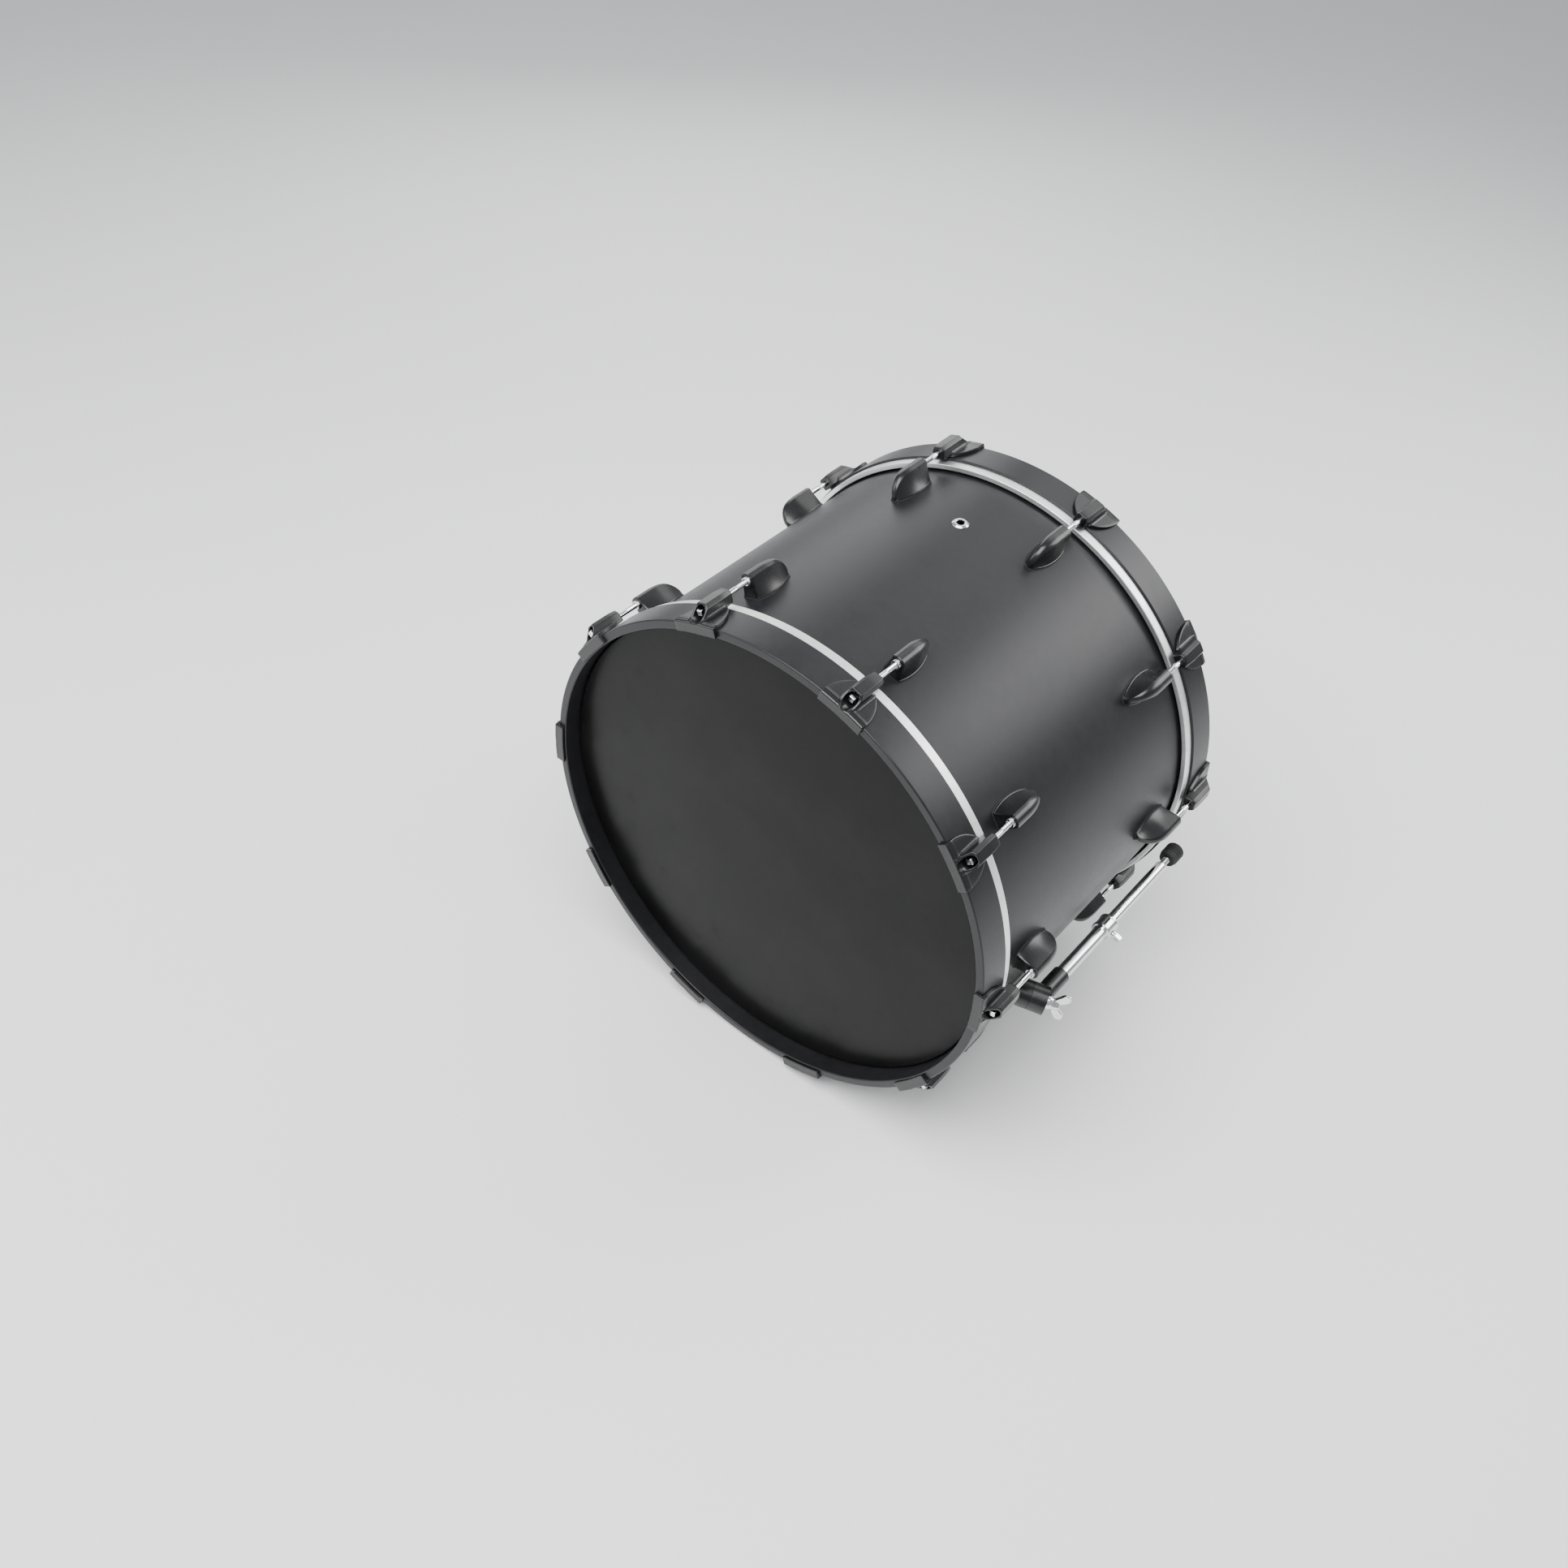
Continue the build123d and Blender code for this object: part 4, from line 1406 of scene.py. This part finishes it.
    def form(self) -> Form:
        """The lug, with the bores for its nut and rod.

        Returns:
            The form, in millimetres.
        """
        shares = [0.0, 0.008, 0.016, 0.03, 0.06, 0.12, 0.2, 0.28, 0.36, self.fall_start]
        turns = [math.pi / 2 * step / self.tail_steps for step in range(1, self.tail_steps)]
        shares += [self.fall_start + self.fall_length * math.sin(turn) for turn in turns]
        shares += [0.9985, 1.0]
        loops = [self.section(self.front, 0.45)]
        loops += [self.section(self.front - self.length * share) for share in shares[1:]]
        axis = self.drum.rod_axis

        def circle(depth: float, radius: float) -> list[Vector]:
            """A circle about the rod, with its points in line with the front loop's."""
            spokes = [Vector((p.x, p.z - axis)).normalized() * radius for p in loops[0]]
            return [Vector((s.x, self.front - depth, axis + s.y)) for s in spokes]

        bores = [
            circle(self.rod_depth, self.rod_bore),
            circle(self.nut_depth, self.rod_bore),
            circle(self.nut_depth, self.nut_bore),
            circle(0.4, self.nut_bore),
            circle(0.0, self.nut_bore + 0.4),
        ]
        return Form().loft(bores + loops)

    def gasket_form(self) -> Form:
        """The gasket under a lug, curved to the shell.

        Returns:
            The form, in millimetres.
        """
        lip = self.gasket_lip
        front, length = self.front + lip, self.length + 2 * lip
        shares = [0.0, 0.004, 0.012, 0.03, 0.08, 0.2, 0.32, 0.45]
        shares += [0.58, 0.7, 0.82, 0.9, 0.955, 0.98, 0.993, 1.0]
        loops = []
        for share in shares:
            y = front - length * share
            half = max(0.01, self.half_width(y, lip))
            loop = []
            faces = [(self.drum.shell_radius, range(-4, 5)), (self.drum.gasket_outer, range(4, -5, -1))]
            for radius, across in faces:
                for step in across:
                    x = half * step / 4
                    loop.append(Vector((x, y, math.sqrt(radius**2 - x**2))))
            loops.append(loop)
        return Form().loft(loops)

    def build(self, workshop: Workshop) -> None:
        """Makes both ends' lugs and their gaskets, and dresses their screws.

        Args:
            workshop: Where its pieces are made.
        """
        form, gasket = self.form(), self.gasket_form()
        for end in End:
            name = f"{end.word}_lugs"
            workshop.piece(f"{name}_cast", self.drum.around(form, [end]), Slot.CASTING, [name])
        workshop.piece("lug_seats", self.drum.around(gasket, End), Slot.RUBBER, ["lug_gaskets"])
        workshop.dress("lug_screws", Slot.STEEL)


# ---------------------------------------------------------------- nuts and rods


@dataclass
class Tension:
    """The swivel nuts in the lugs and the tension rods that turn in them."""

    drum: Drum
    nut_radius: float = 5.0
    nut_start: float = 125.2
    nut_end: float = 150.2
    groove: float = 0.7
    clearance: float = 0.05
    rod_radius: float = 2.8
    rod_start: float = 117.2
    thread_end: float = 166.0
    thread_pitch: float = 1.06
    thread_depth: float = 0.42
    thread_fade: float = 3.0
    thread_steps: int = 24
    rows_in_pitch: int = 4
    rod_chamfer: float = 0.7
    flange_seat: float = 207.3
    flange_radius: float = 5.8
    flange_height: float = 1.6
    key_side: float = 6.35
    key_height: float = 9.0
    key_sunk: float = 0.4

    def nut(self) -> Form:
        """A swivel nut with a grooved collar.

        Returns:
            The form, in millimetres.
        """
        radius, end = self.nut_radius, self.nut_end
        bore = self.rod_radius + self.clearance
        corners = [
            (bore, self.nut_start),
            (radius, self.nut_start),
            (radius, end - 2.3),
            (radius - self.groove, end - 2.1),
            (radius - self.groove, end - 1.5),
            (radius, end - 1.3),
            (radius, end),
            (bore + 0.7, end),
            (bore, end - 0.7),
        ]
        profile = rounded(corners, {1: 0.5, 2: 0.12, 5: 0.12, 6: 0.45, 7: 0.2})
        return Form().spin(profile, self.drum.rod_line, 40)

    def shaft(self) -> Form:
        """The rod's shaft: threaded from its end, then plain up to the flange.

        Returns:
            The form, in millimetres.
        """
        steps, rows_in_pitch = self.thread_steps, self.rows_in_pitch
        pitches = (self.thread_end - self.rod_start) / self.thread_pitch
        rows = []
        for row in range(int(pitches * rows_in_pitch) + 1):
            y = self.rod_start + row * self.thread_pitch / rows_in_pitch
            fade = min(1.0, (self.thread_end - y) / self.thread_fade)
            chamfer = max(0.0, self.rod_chamfer - (y - self.rod_start))
            loop = []
            for step in range(steps):
                turn = 2 * math.pi * step / steps
                phase = (row / rows_in_pitch - step / steps) % 1.0
                depth = self.thread_depth * (1 - abs(2 * phase - 1)) * fade
                radius = self.rod_radius - depth - chamfer
                spoke = Vector((radius * math.cos(turn), radius * math.sin(turn), y))
                loop.append(self.drum.rod_line @ spoke)
            rows.append(loop)
        for y in (self.thread_end, 172.0, 180.0, 192.0, self.flange_seat + 0.4):
            turns = [2 * math.pi * step / steps for step in range(steps)]
            radius = self.rod_radius
            points = [Vector((math.cos(t) * radius, math.sin(t) * radius, y)) for t in turns]
            rows.append([self.drum.rod_line @ point for point in points])
        return Form().loft(rows)

    def head(self) -> Form:
        """The rod's domed flange and its square key head.

        Returns:
            The form, in millimetres.
        """
        seat, top = self.flange_seat, self.flange_seat + self.flange_height
        radius = self.flange_radius
        corners = [(0, seat), (radius, seat), (radius, top - 0.7), (4.6, top), (0, top + 0.25)]
        profile = rounded(corners, {1: 0.3, 2: 0.5, 3: 0.6})
        line = self.drum.rod_line
        flange = Form().spin(profile, line, 48, False)
        return flange.add(key_head(self.key_side, top - self.key_sunk, top + self.key_height, line))

    def build(self, workshop: Workshop) -> None:
        """Makes the nuts, and one rod for each lug.

        Args:
            workshop: Where its pieces are made.
        """
        nuts = self.drum.around(self.nut(), End)
        workshop.piece("swivel_nut_set", nuts, Slot.CHROME, ["swivel_nuts"])
        mesh = self.shaft().add(self.head()).mesh("key_rod")
        for end in End:
            for number, angle in enumerate(self.drum.angles(), start=1):
                node = f"tension_rod_{end.word}_{number:02d}"
                place = self.drum.lift @ self.drum.turn(angle, end)
                workshop.piece(f"key_rod_{end.word}_{number:02d}", mesh, Slot.CHROME, [node], node, place)


# ---------------------------------------------------------------- spurs


@dataclass
class Spur:
    """A folding spur on one side: bracket, knuckle, telescopic leg, foot and wing bolt."""

    drum: Drum
    side: Side
    angle: float = 108.0
    y: float = -95.0
    stand_off: float = 30.2
    down: Triple = (0.42, -0.42, -0.80)

    tube_radius: float = 8.0
    tube_start: float = 14.0
    tube_end: float = 146.0
    tube_wall: float = 1.55
    clamp_radius: float = 11.5
    clamp_length: float = 20.0
    leg_radius: float = 6.35
    leg_start: float = 24.0
    leg_end: float = 262.0
    spike_radius: float = 4.0
    spike_shank: float = 10.0
    spike_shaft: float = 22.0
    spike_cone: float = 10.0
    spike_point: float = 0.6
    spike_pitch: float = 1.25
    spike_thread: float = 0.45
    grooves: int = 5
    groove_first: float = 14.0
    groove_spacing: float = 15.0
    groove_depth: float = 0.35
    groove_width: float = 1.25
    foot_rings: int = 4
    ring_first: float = 5.6
    ring_spacing: float = 3.1
    ring_depth: float = 0.9
    foot_radius: float = 11.0
    foot_length: float = 22.0
    foot_cover: float = 3.0
    knuckle_below: float = 10.0
    knuckle_above: float = 8.0
    knuckle_gap: float = 0.3
    bolt_radius: float = 4.0
    bolt_grip: float = 14.0
    hub_radius: float = 8.0
    hub_height: float = 14.0
    wing_span: float = 21.0
    wing_rise: float = 9.0
    wing_height: float = 14.0
    wing_thickness: float = 4.0
    lock_radius: float = 2.5
    lock_hub: float = 4.5
    lock_hub_height: float = 3.0
    lock_key: float = 6.35
    lock_key_height: float = 8.0
    lock_key_sunk: float = 0.3

    @property
    def normal(self) -> Vector:
        """The shell's direction outwards at the right bracket."""
        angle = math.radians(self.angle)
        return Vector((math.sin(angle), 0, math.cos(angle)))

    @property
    def hinge(self) -> Vector:
        """The direction of the right spur's hinge."""
        swing = Vector(self.down).normalized() - Vector((0, 1, 0))
        return (self.normal - swing * (self.normal.dot(swing) / swing.dot(swing))).normalized()

    @property
    def point(self) -> Vector:
        """The point where the right leg's line crosses its hinge."""
        return self.normal * (self.drum.shell_radius + self.stand_off) + Vector((0, self.y, 0))

    def line(self, direction: Vector, across: Vector | None = None, shift: Vector | None = None) -> Matrix:
        """A turning axis through the hinge point.

        Args:
            direction: The axis's direction, which becomes local z.
            across: A direction that becomes local x, at right angles to it, or none for any.
            shift: A move from the hinge point, or none.

        Returns:
            The place of the axis.
        """
        z = direction.normalized()
        x = (across or (z.orthogonal())).normalized()
        turn = Matrix((x, z.cross(x), z)).transposed().to_4x4()
        return Matrix.Translation(self.point + (shift or Vector((0, 0, 0)))) @ turn

    def handed(self, form: Form) -> Form:
        """A right-hand form, or its mirror image for the left side.

        Args:
            form: A form drawn for the right side.

        Returns:
            The form for this side.
        """
        if self.side is Side.RIGHT:
            return form
        return Form().add(form, Matrix.Scale(-1, 4, (1, 0, 0)))

    def tube(self) -> Form:
        """The outer tube and its clamp collar, which has a shallow recessed band.

        Returns:
            The form, in millimetres.
        """
        line = self.line(Vector((0, 1, 0)))
        outer, inner = self.tube_radius, self.tube_radius - self.tube_wall
        start, end, collar = self.tube_start, self.tube_end, self.tube_end - self.clamp_length
        corners = [
            (inner, start),
            (outer, start),
            (outer, collar),
            (self.clamp_radius, collar),
            (self.clamp_radius, collar + 3.2),
            (self.clamp_radius - 0.7, collar + 3.9),
            (self.clamp_radius - 0.7, end - 3.9),
            (self.clamp_radius, end - 3.2),
            (self.clamp_radius, end),
            (inner, end),
        ]
        rounds = {1: 0.4, 2: 0.6, 3: 1.2, 4: 0.3, 5: 0.3, 6: 0.3, 7: 0.3, 8: 1.2, 9: 0.4}
        return Form().spin(divided(rounded(corners, rounds), 12.0), line, 56)

    def lock(self) -> Form:
        """The key-operated lock screw in the clamp collar.

        Returns:
            The form, in millimetres.
        """
        shift = Vector((0, self.tube_end - self.clamp_length / 2, 0))
        line = self.line(self.normal, Vector((0, 1, 0)), shift)
        hub_end = self.clamp_radius + self.lock_hub_height
        corners = [
            (0, self.leg_radius + 0.3),
            (self.lock_radius, self.leg_radius + 0.3),
            (self.lock_radius, self.clamp_radius - 0.75),
            (self.lock_hub, self.clamp_radius - 0.75),
            (self.lock_hub, hub_end),
            (0, hub_end),
        ]
        form = Form().spin(rounded(corners, {1: 0.4, 4: 0.8}), line, 40, False)
        top = hub_end + self.lock_key_height
        return form.add(key_head(self.lock_key, hub_end - self.lock_key_sunk, top, line))

    def leg(self) -> Form:
        """The inner leg, bored at its end for the spike, with turned setting grooves.

        Returns:
            The form, in millimetres.
        """
        line = self.line(Vector((0, 1, 0)))
        radius, start, end = self.leg_radius, self.leg_start, self.leg_end
        corners: list[Point] = [(0, start), (radius, start)]
        cut = radius - self.groove_depth
        for place in range(self.grooves):
            y = self.tube_end + self.groove_first + self.groove_spacing * place
            corners += [(radius, y), (cut, y + 0.35), (cut, y + 0.9), (radius, y + self.groove_width)]
        bore = self.spike_radius + 0.05
        floor = end - self.spike_shank
        corners += [(radius, end), (bore, end), (bore, floor), (0, floor)]
        last = len(corners)
        profile = rounded(corners, {1: 0.6, last - 4: 0.8})
        return Form().spin(profile, line, 48, False)

    def spike(self) -> Form:
        """The threaded spike at the leg's end.

        Returns:
            The form, in millimetres.
        """
        line = self.line(Vector((0, 1, 0)))
        start, shoulder = self.leg_end - self.spike_shank, self.leg_end + self.spike_shaft
        pitch, depth, radius = self.spike_pitch, self.spike_thread, self.spike_radius
        corners: list[Point] = [(0, start), (radius - depth, start), (radius, start + depth)]
        y = start + pitch
        while y < shoulder - pitch:
            corners += [(radius, y), (radius - depth, y + pitch / 2)]
            y += pitch
        tip = shoulder + self.spike_cone
        corners += [(radius, shoulder), (self.spike_point, tip), (0, tip)]
        return Form().spin(corners, line, 40, False)

    def foot(self) -> Form:
        """The rubber foot, with grip rings, open at its end for the spike.

        Returns:
            The form, in millimetres.
        """
        line = self.line(Vector((0, 1, 0)))
        end = self.leg_end + self.spike_shaft + self.spike_cone + self.foot_cover
        start = end - self.foot_length
        bore, radius = self.spike_radius + 0.1, self.foot_radius
        corners: list[Point] = [(bore, start), (radius - 1.6, start), (radius - 0.4, start + 5.0)]
        rounds = {1: 1.5}
        low = radius - self.ring_depth
        for place in range(self.foot_rings):
            y = start + self.ring_first + self.ring_spacing * place
            corners += [(radius, y), (radius, y + 1.7), (low, y + 2.2), (low, y + 2.7)]
        corners += [(radius, end - 3.2), (radius, end), (bore, end)]
        rounds[len(corners) - 2] = 2.0
        return Form().spin(rounded(corners, rounds), line, 56)

    def wing_bolt(self) -> Form:
        """The wing bolt: a shaft, a waisted hub and two wings.

        Returns:
            The form, in millimetres.
        """
        line = self.line(self.hinge)
        seat = self.knuckle_above + self.knuckle_gap
        top = seat + self.hub_height
        bottom = -self.knuckle_below - self.knuckle_gap - self.bolt_grip
        corners = [
            (0, bottom),
            (self.bolt_radius, bottom),
            (self.bolt_radius, seat),
            (self.hub_radius, seat),
            (self.hub_radius, seat + 3.0),
            (self.hub_radius - 1.2, seat + 6.0),
            (self.hub_radius - 1.6, top - 1.5),
            (self.hub_radius - 2.6, top),
            (0, top + 0.4),
        ]
        form = Form().spin(rounded(corners, {1: 0.6, 3: 0.5, 4: 0.8, 5: 2.0, 7: 0.9}), line, 48, False)
        across = Vector((0, 1, 0)).cross(self.hinge).normalized()
        wings = self.line(across.cross(self.hinge), across)
        low, half = self.knuckle_above + self.wing_rise, self.wing_thickness / 2
        outline = rounded(
            [
                (3.0, low - 3.0),
                (self.hub_radius + 2.0, low - 1.0),
                (self.wing_span, low + self.wing_height * 0.42),
                (self.wing_span, low + self.wing_height),
                (self.wing_span * 0.58, low + self.wing_height),
                (3.0, top - 1.0),
            ],
            {1: 4.0, 2: 4.5, 3: 3.2, 4: 6.0},
            7,
        )
        middle = Vector((self.wing_span * 0.55, low + self.wing_height * 0.5))
        edge = [(half * 0.3, 1.0), (half * 0.72, 0.97), (half, 0.86)]
        levels = [(-depth, scale) for depth, scale in reversed(edge)] + edge
        for mirror in (1, -1):
            loops = []
            for depth, scale in levels:
                spread = [middle + (Vector(p) - middle) * scale for p in outline]
                loops.append([wings @ Vector((p.x * mirror, p.y, depth)) for p in spread])
            form.add(Form().loft(loops))
        return form

    def build(self, workshop: Workshop) -> None:
        """Makes this side's spur.

        Args:
            workshop: Where its pieces are made.
        """
        word = self.side.word
        parts: list[tuple[str, Form, Slot, str, str]] = [
            ("outer_tube", self.tube(), Slot.CHROME, "spur_tube", "spur"),
            ("lock_bolt", self.lock(), Slot.CHROME, "spur_lock_screw", "spur"),
            ("inner_leg", self.leg(), Slot.CHROME, "spur_leg", "leg"),
            ("steel_spike", self.spike(), Slot.STEEL, "spur_spike", "leg"),
            ("rubber_foot", self.foot(), Slot.RUBBER, "spur_foot", "foot"),
            ("wing_key", self.wing_bolt(), Slot.CHROME, "spur_wing_bolt", "wing_bolt"),
        ]
        for name, form, slot, node, body in parts:
            workshop.piece(f"{name}_{word}", self.handed(form), slot, [f"{node}_{word}"], f"{body}_{word}")
        workshop.dress(f"spur_bracket_{word}", Slot.CASTING)
        workshop.dress(f"spur_knuckle_{word}", Slot.CASTING)


# ---------------------------------------------------------------- studio


@dataclass
class Studio:
    """The pale floor, the soft lights and the camera."""

    azimuth: float = 36.22
    elevation: float = 43.82
    roll: float = 4.68
    distance: float = 1.793
    lens: float = 36.21
    sensor: float = 36.0
    clip: tuple[float, float] = (0.05, 50.0)
    aim: Triple = (-0.073, -0.0846, 0.2661)
    floor_half: float = 30.0
    world_colour: Colour = (0.90, 0.93, 0.97, 1.0)
    world_strength: float = 0.55
    soft_lights: tuple[LightSettings, ...] = (
        ("overhead", (0.05, -0.38, 0.92), 2.3, (2.0, 2.0), 120.0),
        ("back_left", (-0.63, 0.66, 0.41), 2.6, (1.5, 1.4), 16.0),
        ("back_right", (0.48, 0.70, 0.53), 2.6, (1.3, 1.2), 38.0),
        ("back_middle", (-0.05, 0.72, 0.69), 2.6, (1.2, 1.0), 9.0),
        ("front_left", (-0.80, -0.62, 0.55), 3.0, (1.8, 1.8), 40.0),
    )

    def floor(self) -> None:
        """Makes the floor."""
        board = Board("pale_floor")
        tone = board.noise(board.place(), 1.6, 3.0, 0.5)
        fine = board.noise(board.place(), 240.0, 2.0, 0.5)
        paint = board.finish(
            {
                "Base Color": board.blend(tone, grey(0.80), grey(0.84)),
                "Roughness": fine * 0.1 + 0.55,
                "Normal": board.bump(fine, 0.04, 0.0005),
            }
        )
        half, steps = self.floor_half / MM, 12
        marks = [-half + 2 * half * step / steps for step in range(steps + 1)]
        mesh = Form().grid([[Vector((x, y, 0)) for x in marks] for y in marks]).mesh("pale_floor")
        mesh.materials.append(paint)
        placed("pale_floor", mesh)

    def light(self, name: str, direction: Triple, away: float, size: Point, power: float) -> None:
        """Adds one soft light.

        Args:
            name: The light's name.
            direction: The way to it from the drum.
            away: How far it is in metres.
            size: Its width and height in metres.
            power: Its power in watts.
        """
        data = bpy.data.lights.new(name, "AREA")
        data.shape = "RECTANGLE"
        data.size, data.size_y = size
        data.energy = power
        made = placed(name, data)
        back = Vector(direction).normalized()
        made.location = Vector(self.aim) + back * away
        made.rotation_mode = "QUATERNION"
        made.rotation_quaternion = back.to_track_quat("Z", "Y")
        made.visible_camera = False

    def lights(self) -> None:
        """Makes the soft lights and the even surroundings."""
        for settings in self.soft_lights:
            self.light(*settings)
        world = bpy.data.worlds.new("studio_surroundings")
        world.use_nodes = True
        backdrop = world.node_tree.nodes["Background"]
        backdrop.inputs["Color"].default_value = self.world_colour
        backdrop.inputs["Strength"].default_value = self.world_strength
        bpy.context.scene.world = world

    def camera(self) -> None:
        """Makes the camera."""
        turn, rise = math.radians(self.azimuth), math.radians(self.elevation)
        back = Vector((math.sin(turn) * math.cos(rise), -math.cos(turn) * math.cos(rise), math.sin(rise)))
        data = bpy.data.cameras.new("camera")
        data.sensor_width = self.sensor
        data.lens = self.lens
        data.clip_start, data.clip_end = self.clip
        made = placed("camera", data)
        made.location = Vector(self.aim) + back * self.distance
        made.rotation_mode = "QUATERNION"
        tilt = Quaternion((0, 0, 1), math.radians(self.roll))
        made.rotation_quaternion = (-back).to_track_quat("-Z", "Y") @ tilt
        bpy.context.scene.camera = made

    def build(self) -> None:
        """Makes the whole studio."""
        self.floor()
        self.lights()
        self.camera()


def main() -> None:
    """Builds the drum and its studio."""
    logging.basicConfig(level=logging.INFO, format="%(message)s")
    drum = Drum.measured()
    workshop = Workshop(drum)
    Shell(drum).build(workshop)
    Vent(drum).build(workshop)
    for end in End:
        Head(drum, end).build(workshop)
        Hoop(drum, end).build(workshop)
    Claw(drum).build(workshop)
    Lug(drum).build(workshop)
    Tension(drum).build(workshop)
    for side in Side:
        Spur(drum, side).build(workshop)
    workshop.dress("spur_gaskets", Slot.RUBBER)
    workshop.dress("spur_screws", Slot.STEEL)
    Studio().build()


if __name__ == "__main__":
    main()
